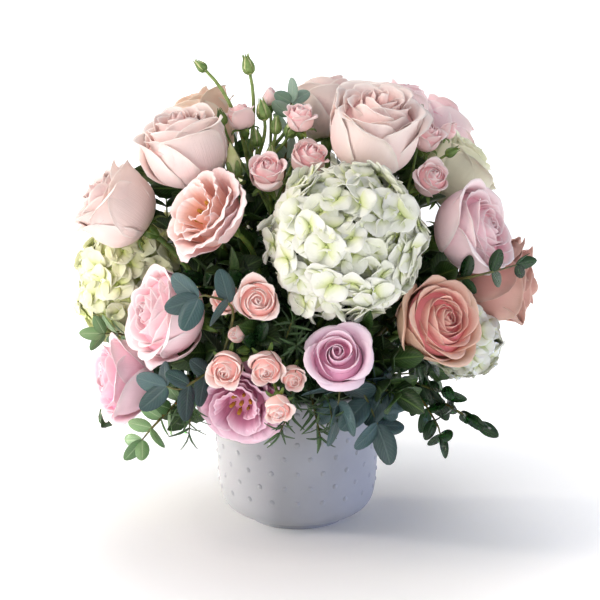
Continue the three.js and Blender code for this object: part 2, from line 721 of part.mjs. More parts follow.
function branch({ leaf: [length, width], outline, twigs }) {
  const TWIG_RADIUS = 1.3;
  const start = vector(twigs[0].points[0]);
  const towards = vector(twigs[0].points[1]).sub(start).normalize();
  const trunk = stemLine(start, towards, TWIG_RADIUS);
  const pieces = [solidOf(tube(trunk, TWIG_RADIUS, STEM_SIDES, STEM_STEPS))];
  twigs.forEach(({ points, pairs, turn }, i) => {
    const path = points.map(vector);
    if (i) path.unshift(trunk.getPoint(0.9));
    else path[0] = trunk.getPoint(0.99);
    const line = new THREE.CatmullRomCurve3(path);
    const steps = pairs + 2;
    pieces.push(solidOf(tube(line, TWIG_RADIUS, STEM_SIDES, steps)));
    for (let pair = 0; pair < pairs; pair++) {
      for (const side of [0, 1]) {
        const size = 1 - 0.1 * pair;
        const t = (pair + 2 + 0.06 * side) / steps;
        const about = radians(turn + 180 * side + 70 * (pair % 2));
        pieces.push(leafOn(line, t, about, 1.05, [size * length, size * width], outline));
      }
    }
    pieces.push(leafOn(line, 1, radians(turn), 0.25, [0.8 * length, 0.8 * width], outline));
  });
  return fuse(pieces);
}

// ---- The arrangement -----------------------------------------------------------------------------

const centrepiece = new THREE.Group();
const number = (i) => String(i + 1).padStart(2, "0");

// Puts a bloom made in its own frame on its stem's cup.
function addBloom(name, bloom, material, { at, faces }, baseToMiddle) {
  const facing = directionOf(faces);
  const mesh = meshOf(name, bloom, material);
  mesh.position.copy(vector(at).addScaledVector(facing, -baseToMiddle));
  mesh.quaternion.setFromUnitVectors(new Vector3(0, 0, 1), facing);
  centrepiece.add(mesh);
}

ROSES.forEach((rose, i) => {
  const name = `rose_${number(i)}`;
  addBloom(`${name}_bloom`, roseBloom(rose.radius), rose.finish, rose, ROSE_BASE_TO_MIDDLE * rose.radius);
  centrepiece.add(meshOf(`${name}_stem`, roseStem(rose), STEM));
});

HYDRANGEAS.forEach((head, i) => {
  const name = `hydrangea_${number(i)}`;
  addBloom(`${name}_head`, hydrangeaHead(head.radius, head.florets), HYDRANGEA, head, 0);
  centrepiece.add(meshOf(`${name}_stem`, hydrangeaStem(head), STEM));
});

LISIANTHUS.forEach((flower, i) => {
  const name = `lisianthus_${number(i)}`;
  addBloom(`${name}_bloom`, lisianthusBloom(flower.radius), flower.finish, flower, 0.5 * flower.radius);
  centrepiece.add(meshOf(`${name}_stem`, lisianthusStem(flower), STEM));
});
centrepiece.add(meshOf("lisianthus_buds", budStem(), STEM));

SPRAYS.forEach((spray, i) => {
  centrepiece.add(meshOf(`spray_rose_${number(i)}`, sprayRose(spray), SPRAY_PINK));
});

for (const [name, plan] of Object.entries(BRANCHES)) {
  centrepiece.add(meshOf(name, branch(plan), plan.finish));
}

centrepiece.add(meshOf("vase", vase(), CERAMIC));
centrepiece.add(meshOf("floral_foam", foam(), FOAM));

export default centrepiece;
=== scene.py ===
# A round table centrepiece: roses, hydrangeas, lisianthus, spray roses and foliage, which stand in
# wet floral foam in a white dimpled ceramic vase. Metres, +Z up, the front faces -Y.
# Places and sizes are in millimetres, which MM turns into metres, and angles in degrees.
import math
import random

import bpy
import numpy as np
from mathutils import Matrix, Vector


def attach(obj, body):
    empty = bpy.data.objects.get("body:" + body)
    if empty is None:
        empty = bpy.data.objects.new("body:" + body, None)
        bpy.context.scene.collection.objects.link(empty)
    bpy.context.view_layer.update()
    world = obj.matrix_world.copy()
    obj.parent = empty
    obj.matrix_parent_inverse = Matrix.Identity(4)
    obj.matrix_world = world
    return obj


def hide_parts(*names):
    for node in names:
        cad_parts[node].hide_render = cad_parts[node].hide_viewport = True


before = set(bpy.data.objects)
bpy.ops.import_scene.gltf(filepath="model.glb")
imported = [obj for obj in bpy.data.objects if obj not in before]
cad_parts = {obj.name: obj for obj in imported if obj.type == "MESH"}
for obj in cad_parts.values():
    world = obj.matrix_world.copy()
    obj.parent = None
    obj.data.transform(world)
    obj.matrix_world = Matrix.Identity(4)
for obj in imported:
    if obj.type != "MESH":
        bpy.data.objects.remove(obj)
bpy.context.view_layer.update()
MM = 0.001

# ---- Table top, light and camera -----------------------------------------------------------------
# A plain pale table top that curves up far away, so that no edge shows behind the flowers. Soft
# daylight comes from the upper left, and a weaker, cooler light from the right. None of it is part
# of the object.

CAMERA_ELEVATION = 11.0
CAMERA_DISTANCE = 1050.0
CAMERA_TARGET = (2.0, 0.0, 172.0)
CAMERA_LENS = 81.9
TABLE_FLAT = 2000.0
TABLE_TURN_UP = 900.0
TABLE_THICKNESS = 20.0
TABLE_SIDES = 96
BACKDROP_GLOW = (0.08, 0.36)  # metres from the vase, where the lit backdrop starts and is full
BACKDROP_STRENGTH = 0.68
VASE_TARGET = (0, 0, 35)
GRID_SPREAD = 13.0  # of the two gridded lights, which reach the vase alone


class Socket:
    """An output of a node. Arithmetic with it adds Math nodes to its graph."""

    def __init__(self, graph, socket):
        self.graph = graph
        self.socket = socket

    def maths(self, operation, *others, clamp=False):
        return self.graph.maths(operation, self, *others, clamp=clamp)

    def __add__(self, other):
        return self.maths("ADD", other)

    def __sub__(self, other):
        return self.maths("SUBTRACT", other)

    def __rsub__(self, other):
        return self.graph.maths("SUBTRACT", other, self)

    def __mul__(self, other):
        return self.maths("MULTIPLY", other)

    def __truediv__(self, other):
        return self.maths("DIVIDE", other)

    def __pow__(self, power):
        return self.maths("POWER", power)

    def __abs__(self):
        return self.maths("ABSOLUTE")

    __radd__ = __add__
    __rmul__ = __mul__

    def ramp(self, start, end):
        """0 at start and 1 at end, and level beyond them."""
        return (self - start).maths("DIVIDE", end - start, clamp=True)


class Graph:
    """A node tree, for a finish or for a shape."""

    def __init__(self, tree):
        self.tree = tree

    def add(self, kind, settings=None, sockets=None, out=0, **named):
        """Adds a node: its settings first, then its sockets' values or links, by number or name."""
        node = self.tree.nodes.new(kind)
        for name, value in (settings or {}).items():
            setattr(node, name, value)
        named = {name.replace("_", " "): value for name, value in named.items()}
        for key, value in {**(sockets or {}), **named}.items():
            if isinstance(value, Socket):
                self.tree.links.new(value.socket, node.inputs[key])
            else:
                node.inputs[key].default_value = value
        if isinstance(out, tuple):
            return [Socket(self, node.outputs[name]) for name in out]
        return Socket(self, node.outputs[out]) if len(node.outputs) else None

    def maths(self, operation, *values, clamp=False):
        settings = {"operation": operation, "use_clamp": clamp}
        return self.add("ShaderNodeMath", settings, dict(enumerate(values)))

    def vector(self, x, y, z):
        return self.add("ShaderNodeCombineXYZ", X=x, Y=y, Z=z)


def paint(code):
    """A colour from its web code, as the linear values that a node takes."""
    shares = [int(code[i : i + 2], 16) / 255 for i in (1, 3, 5)]
    linear = [s / 12.92 if s <= 0.04045 else ((s + 0.055) / 1.055) ** 2.4 for s in shares]
    return (*linear, 1.0)


class Finish(Graph):
    """A material, closed by surface()."""

    def __init__(self, name):
        self.material = bpy.data.materials.new(name)
        self.material.use_nodes = True
        self.material.node_tree.nodes.clear()
        super().__init__(self.material.node_tree)

    def mix(self, share, first, second, blend="MIX"):
        """Mixes two colours, each a link or a web code."""
        first, second = (paint(c) if isinstance(c, str) else c for c in (first, second))
        settings = {"data_type": "RGBA", "blend_type": blend}
        return self.add("ShaderNodeMix", settings, {0: share, 6: first, 7: second}, out=2)

    def noise(self, scale, detail=3.0, vector=None):
        place = vector or self.add("ShaderNodeTexCoord", out="Object")
        return self.add("ShaderNodeTexNoise", Vector=place, Scale=scale, Detail=detail, out="Fac")

    def bump(self, height, depth, strength=1.0):
        return self.add("ShaderNodeBump", Height=height, Distance=depth, Strength=strength)

    def marks(self):
        """The four marks that a Pile gives each point."""
        settings = {"attribute_name": "marks"}
        colour, last = self.add("ShaderNodeAttribute", settings, out=("Color", "Alpha"))
        outs = ("Red", "Green", "Blue")
        return (*self.add("ShaderNodeSeparateColor", Color=colour, out=outs), last)

    def shade(self):
        """The random shade that a Recipe gives each leaf or floret."""
        return self.add("ShaderNodeAttribute", {"attribute_name": "shade"}, out="Fac")

    def surface(self, **sockets):
        shader = self.add("ShaderNodeBsdfPrincipled", **sockets)
        self.add("ShaderNodeOutputMaterial", Surface=shader)
        return self.material


def new_object(name, mesh):
    piece = bpy.data.objects.new(name, mesh)
    bpy.context.scene.collection.objects.link(piece)
    return piece


class Pile:
    """Gathers closed shapes into one mesh. Each point may carry four marks that a finish reads."""

    def __init__(self):
        self.points = []
        self.marks = []
        self.faces = []
        self.kinds = []
        self.count = 0

    def add(self, shape, marks=(0.0, 0.0, 0.0, 0.0), kind=0):
        """Adds a shape, which is its points and its faces. kind is the number of its material."""
        points, faces = shape
        self.points.append(points)
        self.marks.append(np.broadcast_to(np.asarray(marks, float), (len(points), 4)))
        self.faces.extend([[corner + self.count for corner in face] for face in faces])
        self.kinds.extend([kind] * len(faces))
        self.count += len(points)

    def piece(self, name, *materials):
        mesh = bpy.data.meshes.new(name)
        mesh.from_pydata(np.concatenate(self.points) * MM, [], self.faces)
        marks = mesh.attributes.new("marks", "FLOAT_COLOR", "POINT")
        marks.data.foreach_set("color", np.concatenate(self.marks).ravel())
        for material in materials:
            mesh.materials.append(material)
        mesh.polygons.foreach_set("material_index", self.kinds)
        mesh.polygons.foreach_set("use_smooth", [True] * len(mesh.polygons))
        mesh.update()
        return new_object(name, mesh)


def turned(profile, sides):
    """A solid turned about +Z from its half section, [out, up] points from axis to axis."""
    rings = profile[1:-1]
    turns = 2 * math.pi * np.arange(sides) / sides
    points = [(0.0, 0.0, profile[0][1]), (0.0, 0.0, profile[-1][1])]
    points += [(out * math.cos(t), out * math.sin(t), up) for out, up in rings for t in turns]
    grid = np.arange(2, 2 + len(rings) * sides).reshape(-1, sides)
    after = np.roll(grid, -1, axis=1)
    faces = [(0, b, a) for a, b in zip(grid[0].tolist(), after[0].tolist())]
    faces += [(1, a, b) for a, b in zip(grid[-1].tolist(), after[-1].tolist())]
    walls = np.stack([grid[:-1], after[:-1], after[1:], grid[1:]], 2)
    return np.array(points), faces + walls.reshape(-1, 4).tolist()


def bend(start, pull_start, pull_end, end, steps):
    """Points along a cubic curve, without its start."""
    t = np.linspace(0, 1, steps + 1)[1:, None]
    a, b, c, d = (np.asarray(p, float) for p in (start, pull_start, pull_end, end))
    return (1 - t) ** 3 * a + 3 * (1 - t) ** 2 * t * b + 3 * (1 - t) * t**2 * c + t**3 * d


def lay_table():
    """A round dish, whose inner side is the table top."""
    rim = TABLE_FLAT + TABLE_TURN_UP
    outer = rim + TABLE_THICKNESS
    top = bend((TABLE_FLAT, 0), (rim, 0), (rim, 0), (rim, TABLE_TURN_UP), 16)
    outside = [(0, -TABLE_THICKNESS), (outer, -TABLE_THICKNESS), (outer, TABLE_TURN_UP)]
    finish = Finish("pale_table_top")
    place = finish.add("ShaderNodeTexCoord", out="Object")
    away = finish.add("ShaderNodeVectorMath", {"operation": "LENGTH"}, {0: place}, out="Value")
    glow = finish.mix(away.ramp(*BACKDROP_GLOW), "#404040", "#ffffff")
    finish.surface(
        Base_Color=paint("#f2f2f2"),
        Roughness=0.9,
        Emission_Color=glow,
        Emission_Strength=BACKDROP_STRENGTH,
    )
    pile = Pile()
    pile.add(turned([*outside, *top[::-1], (TABLE_FLAT, 0), (0, 0)], TABLE_SIDES))
    pile.piece("table_top", finish.material)


def softbox(name, place, size, watts, colour, target=CAMERA_TARGET, spread=180.0):
    """A round softbox, placed in metres, that points at a target. A small spread is a grid on it."""
    light = bpy.data.lights.new(name, "AREA")
    light.shape = "DISK"
    light.size = size
    light.spread = math.radians(spread)
    light.energy = watts
    light.color = paint(colour)[:3]
    lamp = new_object(name, light)
    lamp.location = place
    aim = Vector(target) * MM - Vector(place)
    lamp.rotation_euler = aim.to_track_quat("-Z", "Y").to_euler()


def set_camera():
    camera = bpy.data.cameras.new("camera")
    camera.lens = CAMERA_LENS
    camera.clip_end = 20.0
    viewer = new_object("camera", camera)
    tilt = math.radians(CAMERA_ELEVATION)
    back = Vector((0.0, -math.cos(tilt), math.sin(tilt)))
    viewer.location = (Vector(CAMERA_TARGET) + CAMERA_DISTANCE * back) * MM
    viewer.rotation_euler = (math.pi / 2 - tilt, 0.0, 0.0)
    bpy.context.scene.camera = viewer


def set_daylight():
    world = bpy.data.worlds.new("daylight")
    world.use_nodes = True
    sky = world.node_tree.nodes["Background"]
    sky.inputs["Color"].default_value = paint("#e9eefa")
    sky.inputs["Strength"].default_value = 0.38
    bpy.context.scene.world = world
    vase_only = (VASE_TARGET, GRID_SPREAD)
    softbox("window_light", (-1.35, -0.5, 1.35), 0.9, 18.5, "#fff4e8")
    softbox("left_fill", (-1.5, -0.9, 0.4), 0.8, 3.0, "#fffaf4")
    softbox("vase_left_light", (-1.5, 0.2, 0.12), 0.15, 0.25, "#fff6ea", *vase_only)
    softbox("vase_right_light", (1.5, -0.4, 0.12), 0.15, 0.06, "#8aa6f4", *vase_only)
    softbox("right_light", (1.5, -0.5, 1.0), 1.2, 0.8, "#f4f4ff")
    softbox("top_light", (-0.1, 0.7, 1.7), 1.0, 7.0, "#ffffff")


bpy.context.scene.view_settings.view_transform = "Standard"
lay_table()
set_camera()
set_daylight()

# ---- Vase ----------------------------------------------------------------------------------------
# Slip-cast white ceramic under a satin glaze, about 4 mm thick: a nearly straight wall that rounds in
# to a low foot. Small round dots stand out of the wall in staggered rows, cast with it.

VASE_HEIGHT = 108.0
VASE_RIM_RADIUS = 66.5
VASE_WAIST_RADIUS = 61.0
VASE_WAIST_HEIGHT = 24.0
VASE_WALL = 4.0
FOOT_RADIUS = 38.0
FOOT_HEIGHT = 4.0
VASE_SIDES = 128
DOTS_PER_ROW = 20
DOT_ROWS = 7
DOT_ROW_STEP = 11.6
FIRST_DOT_ROW = 29.0
DOT_RADIUS = 2.3
DOT_HEIGHT = 1.6
DOT_SINK = 0.7
WALL_SLOPE = (VASE_RIM_RADIUS - VASE_WAIST_RADIUS) / (VASE_HEIGHT - VASE_WAIST_HEIGHT)


class Recipe(Graph):
    """A geometry tree with named inputs, given by kind, as in Float="Size, Spacing"."""

    def __init__(self, name, **inputs):
        tree = bpy.data.node_groups.new(name, "GeometryNodeTree")
        super().__init__(tree)
        sockets = [("Geometry", "INPUT", "Geometry"), ("Geometry", "OUTPUT", "Geometry")]
        for kind, labels in inputs.items():
            sockets += [(label, "INPUT", kind) for label in labels.split(", ")]
        for label, side, kind in sockets:
            tree.interface.new_socket(label, in_out=side, socket_type="NodeSocket" + kind)
        self.start = tree.nodes.new("NodeGroupInput")

    def given(self, label):
        return Socket(self, self.start.outputs[label])

    def random(self, low, high, seed):
        settings = {"data_type": "FLOAT"}
        return self.add("FunctionNodeRandomValue", settings, {2: low, 3: high, 8: seed}, out=1)

    def turn(self, rotation, axis, angle):
        """A rotation turned further about one of its own axes."""
        extra = self.add("FunctionNodeAxisAngleToRotation", Axis=axis, Angle=angle)
        settings = {"rotation_space": "LOCAL"}
        return self.add("FunctionNodeRotateRotation", settings, Rotation=rotation, Rotate_By=extra)

    def aligned(self, axis, vector):
        """A rotation that points an axis along a vector."""
        return self.add("FunctionNodeAlignRotationToVector", {"axis": axis}, Vector=vector)

    def points_at(self, count, place):
        """Loose points, each at a place that is worked out from its index."""
        line = self.add("GeometryNodeMeshLine", Count=count, Offset=(0.0, 0.0, 0.0))
        return self.add("GeometryNodeSetPosition", Geometry=line, Position=place)

    def copies(self, points, shape, rotation, size, **more):
        sockets = {"Points": points, "Instance": shape, "Rotation": rotation, "Scale": size}
        return self.add("GeometryNodeInstanceOnPoints", None, sockets, **more)

    def model(self, label):
        """The shape of the object that an input names."""
        return self.add("GeometryNodeObjectInfo", Object=self.given(label), out="Geometry")

    def joined(self, *parts):
        node = self.tree.nodes.new("GeometryNodeJoinGeometry")
        for part in parts:
            self.tree.links.new(part.socket, node.inputs[0])
        return Socket(self, node.outputs[0])

    def shaded(self, copies, seed):
        """Gives each copy a random shade, which its finish reads."""
        settings = {"data_type": "FLOAT", "domain": "INSTANCE"}
        sockets = {"Geometry": copies, "Name": "shade", "Value": self.random(0.0, 1.0, seed)}
        return self.add("GeometryNodeStoreNamedAttribute", settings, sockets)

    def finish(self, *parts):
        """Joins the parts, each with its material, into plain smooth mesh."""
        made = []
        for part, label in reversed(parts):
            plain = self.add("GeometryNodeRealizeInstances", Geometry=part)
            smooth = self.add("GeometryNodeSetShadeSmooth", Geometry=plain)
            material = self.given(label)
            made.append(self.add("GeometryNodeSetMaterial", Geometry=smooth, Material=material))
        self.add("NodeGroupOutput", Geometry=self.joined(*made))
        return self


def grow(recipe, name, mesh=None, **values):
    """Runs a recipe on a mesh, and returns its result as a plain object."""
    source = new_object(name, mesh or bpy.data.meshes.new(name))
    modifier = source.modifiers.new(name, "NODES")
    modifier.node_group = recipe.tree
    for item in recipe.tree.interface.items_tree:
        label = item.name.replace(" ", "_")
        if item.in_out == "INPUT" and label in values:
            modifier[item.identifier] = values[label]
    graph = bpy.context.evaluated_depsgraph_get()
    made = bpy.data.meshes.new_from_object(
        source.evaluated_get(graph), preserve_all_data_layers=True, depsgraph=graph
    )
    bpy.data.objects.remove(source)
    return new_object(name, made)


def join(name, pieces):
    """Joins objects into the first of them."""
    first = pieces[0]
    with bpy.context.temp_override(active_object=first, selected_editable_objects=pieces):
        bpy.ops.object.join()
    first.name = name
    return first


def settle(piece, node):
    """A finished piece rides on the frame in place of the node that it stands for."""
    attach(piece, "root")
    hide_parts(node)


def wall_radius(up):
    return VASE_WAIST_RADIUS + WALL_SLOPE * (up - VASE_WAIST_HEIGHT)


def dot_rows():
    """Dots stood on the wall in rows, each row turned half a step from the one below."""
    floats = "Row Step, First Row, Dot Radius, Dot Height"
    recipe = Recipe("dot_rows", Int="Per Row, Rows", Float=floats, Material="Glaze")
    per_row = recipe.given("Per Row")
    index = recipe.add("GeometryNodeInputIndex")
    row = (index / per_row + 1e-4).maths("FLOOR")
    stagger = row.maths("MODULO", 2.0) * 0.5
    angle = (index - row * per_row + stagger) * (2 * math.pi) / per_row
    up = recipe.given("First Row") + row * recipe.given("Row Step")
    out = up * WALL_SLOPE + (wall_radius(0) - DOT_SINK) * MM
    place = recipe.vector(angle.maths("COSINE") * out, angle.maths("SINE") * out, up)
    points = recipe.points_at(per_row * recipe.given("Rows"), place)
    ball = recipe.add("GeometryNodeMeshUVSphere", Segments=12, Rings=8, Radius=1.0)
    radius = recipe.given("Dot Radius")
    size = recipe.vector(recipe.given("Dot Height"), radius, radius)
    dots = recipe.copies(points, ball, recipe.vector(0.0, 0.0, angle), size)
    return recipe.finish((dots, "Glaze"))


def satin_glaze():
    """White glaze with a soft gloss and the faint unevenness of a dipped coat. Its cool grey is painted
    shade.
    """
    finish = Finish("white_satin_glaze")
    mottle = finish.noise(28.0, 4.0)
    return finish.surface(
        # Two cool mid greys: painted shade on a white glaze, mottled by the coat's real unevenness.
        Base_Color=finish.mix(mottle.ramp(0.3, 0.7), "#8c8e93", "#96989d"),
        Roughness=0.42 + 0.1 * mottle,
        Coat_Weight=0.08,
        Normal=finish.bump(finish.noise(60.0, 2.0), 0.0004),
    )


def make_vase():
    """The vase, from the middle of its underside, round the foot, up the wall and down inside."""
    foot_top = FOOT_RADIUS + 1
    lip = VASE_WALL / 2
    lip_turns = [math.pi * i / 8 for i in range(9)]
    middle = VASE_RIM_RADIUS - lip
    profile = [
        (0, 1.2),
        (FOOT_RADIUS - 5, 1.2),
        (FOOT_RADIUS - 4, 0.1),
        (FOOT_RADIUS - 1, 0),
        (FOOT_RADIUS, 0.8),
        (foot_top - 0.6, FOOT_HEIGHT - 0.6),
        (foot_top + 0.6, FOOT_HEIGHT + 0.2),
        *bend((foot_top, 4.2), (54, 7.5), (wall_radius(12), 13), (wall_radius(30), 30), 14),
        *[(wall_radius(up), up) for up in (50, 70, 90, VASE_HEIGHT - lip - 1)],
        *[(middle + lip * math.cos(t), VASE_HEIGHT - lip + lip * math.sin(t)) for t in lip_turns],
        (VASE_RIM_RADIUS - VASE_WALL - 1.5, 70),
        (wall_radius(30) - VASE_WALL, 30),
        (50, 12.4),
        (30, 10.5),
        (0, 10),
    ]
    glaze = satin_glaze()
    pile = Pile()
    pile.add(turned(profile, VASE_SIDES))
    dots = grow(
        dot_rows(),
        "vase_dots",
        Glaze=glaze,
        Per_Row=DOTS_PER_ROW,
        Rows=DOT_ROWS,
        Row_Step=DOT_ROW_STEP * MM,
        First_Row=FIRST_DOT_ROW * MM,
        Dot_Radius=DOT_RADIUS * MM,
        Dot_Height=DOT_HEIGHT * MM,
    )
    settle(join("dimpled_vase", [pile.piece("vase_body", glaze), dots]), "vase")


make_vase()

# ---- Floral foam ---------------------------------------------------------------------------------
# The soaked green block that fills the vase and holds every stem. Its own solid is right as it
# stands, so it only gets the look of wet, pricked foam.

FOAM_ABOVE_RIM = 30.0
FOAM_TOP = VASE_HEIGHT + FOAM_ABOVE_RIM
FOAM_SHOULDER = 57.0


def wet_foam():
    finish = Finish("wet_floral_foam")
    grain = finish.noise(900.0, 2.0)
    colour = finish.mix(grain, "#16240f", "#2c4420")
    return finish.surface(Base_Color=colour, Roughness=0.75, Normal=finish.bump(grain, 0.0012))


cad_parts["floral_foam"].material_slots[0].material = wet_foam()

# ---- Roses ---------------------------------------------------------------------------------------
# Sixteen garden roses on green stems that are pushed into the foam. Each bloom is a tight spiral of
# cupped petals in larger guard petals whose rims roll back, on a green cup with five sepals.

# Each palette: the heart, the body, the guard petals, the rims, the roots of the petals.
BLUSH = ("#f0a6a4", "#f7d2d0", "#f7dcd7", "#fdf3ec", "#ecdeac")
ROSY_BLUSH = ("#f0a0a4", "#f6d0ce", "#f4dad2", "#fcf1ea", "#ecdcac")
PEACH = ("#f08a60", "#fac0a0", "#fbd2b8", "#feecd8", "#e8d698")
PINK = ("#f06c9c", "#fba8c6", "#fcccda", "#ffeef2", "#f0daae")
SHELL = ("#f09cb0", "#fcc6d2", "#fdd6dc", "#fff2f2", "#f2dcbc")
# Coral: the roses' own coral, made darker as painted shade, for roses that stand in shadow on the right.
CORAL_PAINTED_SHADE = ("#e47680", "#ee9496", "#e0b698", "#f0c8b4", "#c4c88c")
LILAC = ("#dc80a8", "#ecb2cc", "#eccadc", "#f8e2ee", "#d0c4a4")
# Tan: a dusky rose, made darker still as painted shade, for a rose that stands in shadow on the right.
TAN_PAINTED_SHADE = ("#c07070", "#d08e8a", "#d09a90", "#e6c2b4", "#b89e7c")
GREEN_WHITE = ("#d0d884", "#e6e8b8", "#ebeacc", "#f6f4e0", "#b4c470")

# Styles. What comes in threes is for the heart, the middle and the guard petals, and lengths are in
# bloom radii. lines: a petal from root to rim, as points [out, up]. rolls and curls: how long the
# rolled rim is, and the radius that it curls to. halves: a petal's half span round the bloom, in
# radians. tongues: how far a petal's corners are rounded off, as a share of its length.
# petals and spread: how many petals there are, and how evenly they lie from heart to rim. hollow:
# where the first one lies, if not at the heart. rings: where each petal lies, in place of these.
# ruffle and frill: how high its slow and its fine waves are. point: how far the middle of its rim
# stands out. core: how far up the petals the folded core reaches, as a share of their length.
CUP = {
    "lines": (
        ((0.02, 0.1), (0.07, 0.5), (0.11, 1.0), (0.12, 1.4), (0.09, 1.66), (0.05, 1.76)),
        ((0.05, 0.04), (0.36, 0.24), (0.6, 0.7), (0.62, 1.15), (0.56, 1.5), (0.56, 1.72)),
        ((0.06, 0.0), (0.5, 0.05), (0.87, 0.36), (0.99, 0.82), (0.97, 1.22), (1.02, 1.56)),
    ),
    "rolls": (0.05, 0.16, 0.28),
    "curls": (0.2, 0.2, 0.19),
    "halves": (2.3, 1.35, 1.35),
    "tongues": (0.25, 0.38, 0.52),
    "petals": 28,
    "ruffle": 0.07,
    "frill": 0.12,
    "core": 0.7,
    "spread": 0.8,
}
SWIRL = {
    "lines": (
        ((0.02, 0.1), (0.05, 0.45), (0.08, 0.85), (0.09, 1.15), (0.07, 1.32), (0.03, 1.38)),
        ((0.05, 0.05), (0.3, 0.22), (0.52, 0.6), (0.56, 0.96), (0.53, 1.2), (0.53, 1.36)),
        ((0.06, 0.0), (0.45, 0.06), (0.82, 0.34), (0.98, 0.7), (1.01, 1.0), (1.1, 1.24)),
    ),
    "rolls": (0.02, 0.08, 0.26),
    "curls": (0.2, 0.22, 0.13),
    "halves": (2.5, 1.35, 1.25),
    "tongues": (0.2, 0.3, 0.55),
    "petals": 34,
    "ruffle": 0.02,
    "core": 0.7,
    "point": 0.05,
    "spread": 0.95,
}
BUD = {
    "lines": (
        ((0.02, 0.1), (0.06, 0.5), (0.11, 0.85), (0.14, 1.1), (0.13, 1.24), (0.09, 1.32)),
        ((0.05, 0.05), (0.32, 0.24), (0.54, 0.6), (0.6, 0.92), (0.6, 1.16), (0.66, 1.32)),
        ((0.06, 0.0), (0.45, 0.08), (0.74, 0.4), (0.84, 0.76), (0.97, 1.02), (1.14, 1.16)),
    ),
    "rolls": (0.04, 0.12, 0.26),
    "curls": (0.16, 0.16, 0.13),
    "halves": (2.6, 1.8, 1.3),
    "tongues": (0.15, 0.35, 0.6),
    "rings": (0, 0.04, 0.08, 0.13, 0.19, 0.26, 0.44, 0.49, 0.55, 0.84, 0.89, 0.92, 0.96, 1),
    "ruffle": 0.04,
    "core": 0.5,
}

# Each rose: its middle, the azimuth and elevation that it faces, its radius, style and palette.
ROSES = [
    ((-79, -38, 287), (-140, 68), 30, CUP, BLUSH),
    ((-72, 40, 298), (150, 60), 28, CUP, PEACH),
    ((-128, -35, 244), (-168, 36), 28, CUP, ROSY_BLUSH),
    ((-91, -84, 177), (-150, 14), 32, SWIRL, SHELL),
    ((-127, -50, 123), (-158, 6), 29, SWIRL, PINK),
    ((54, -46, 300), (-72, 62), 33, CUP, BLUSH),
    ((22, 28, 312), (100, 76), 26, CUP, ROSY_BLUSH),
    ((28, -120, 155), (-96, 34), 22, BUD, LILAC),
    ((96, -92, 174), (-58, 20), 29, SWIRL, CORAL_PAINTED_SHADE),
    ((126, -44, 231), (-32, 22), 32, SWIRL, SHELL),
    ((147, 2, 188), (-8, 0), 32, CUP, TAN_PAINTED_SHADE),
    ((118, 24, 264), (0, 44), 28, CUP, GREEN_WHITE),
    ((105, 64, 294), (30, 52), 27, CUP, SHELL),
    ((74, 18, 312), (30, 74), 23, CUP, SHELL),
    ((-82, 108, 176), (126, 14), 31, SWIRL, BLUSH),
    ((86, 108, 186), (52, 16), 31, SWIRL, CORAL_PAINTED_SHADE),
]
ROSE_BASE_TO_MIDDLE = 0.72  # of the radius
ROSE_CLEARANCE = 3.0  # that loose leaves keep from a bloom
ROSE_STEM = (2.3, 2.1)  # radius at the foam and at the cup
ROSE_CUP = 0.2  # radius of the cup, as a share of the bloom's
ROSE_SEPAL = 0.46
ROSE_SEPAL_DROOP = 0.5
ROSE_CUP_DEPTH = 6.0  # a stem ends this far under its bloom
STEM_SIDES = 8
STALK_SIDES = 7
PETAL_THICKNESS = 0.5
PETAL_GRID = (14, 16)  # faces across and along a petal
CORE_MARKS = (0.6, 0.4, 0.42, 0.5)
GOLDEN_ANGLE = math.pi * (3 - math.sqrt(5))
UP = Vector((0, 0, 1))

# The middle of each bloom and the radius round it that loose leaves keep clear of.
BLOOMS = [(np.array(at, float), radius + ROSE_CLEARANCE) for at, _, radius, *_ in ROSES]


def direction(azimuth, elevation):
    """The unit vector at an azimuth from +X towards +Y and an elevation."""
    turn, rise = math.radians(azimuth), math.radians(elevation)
    level = math.cos(rise)
    return np.array((level * math.cos(turn), level * math.sin(turn), math.sin(rise)))


def unit(vector):
    return vector / np.linalg.norm(vector)


def stand(shape, foot, facing):
    """Turns a shape made about +Z to face a way, and stands it on its foot."""
    points, faces = shape
    turn = UP.rotation_difference(Vector(facing)).to_matrix()
    return points @ np.array(turn).T + foot, faces


def sheet(grid, thickness):
    """A thin closed sheet, whose middle is a grid of points, [along, across]."""
    along = np.gradient(grid, axis=0)
    across = np.gradient(grid, axis=1)
    normal = np.cross(across, along)
    normal /= np.linalg.norm(normal, axis=2, keepdims=True) + 1e-12
    rows, columns = grid.shape[:2]
    points = np.concatenate([grid + normal * thickness / 2, grid - normal * thickness / 2])
    top = np.arange(rows * columns).reshape(rows, columns)
    under = top + rows * columns
    quads = [top[:-1, :-1], top[:-1, 1:], top[1:, 1:], top[1:, :-1]]
    faces = np.stack(quads, 2).reshape(-1, 4)
    faces = np.concatenate([faces, (faces + rows * columns)[:, ::-1]])
    edge, low = (
        np.concatenate([side[0, :-1], side[:-1, -1], side[-1, :0:-1], side[:0:-1, 0]])
        for side in (top, under)
    )
    wall = np.stack([edge, low, np.roll(low, -1), np.roll(edge, -1)], 1)
    return points.reshape(-1, 3), np.concatenate([faces, wall]).tolist()


def sheet_marks(*marks):
    """Up to four marks for each point of a sheet, from their grids or single values."""
    marks = np.broadcast_arrays(*marks, *[0.0] * (4 - len(marks)))
    return np.tile(np.stack(marks, 2).reshape(-1, 4), (2, 1))


def between(heart, middle, guard, ring):
    """A value that runs smoothly from the heart, at ring 0, to the guard petals, at ring 1."""
    return (
        np.multiply(heart, (1 - ring) * (1 - 2 * ring))
        + np.multiply(middle, 4 * ring * (1 - ring))
        + np.multiply(guard, ring * (2 * ring - 1))
    )


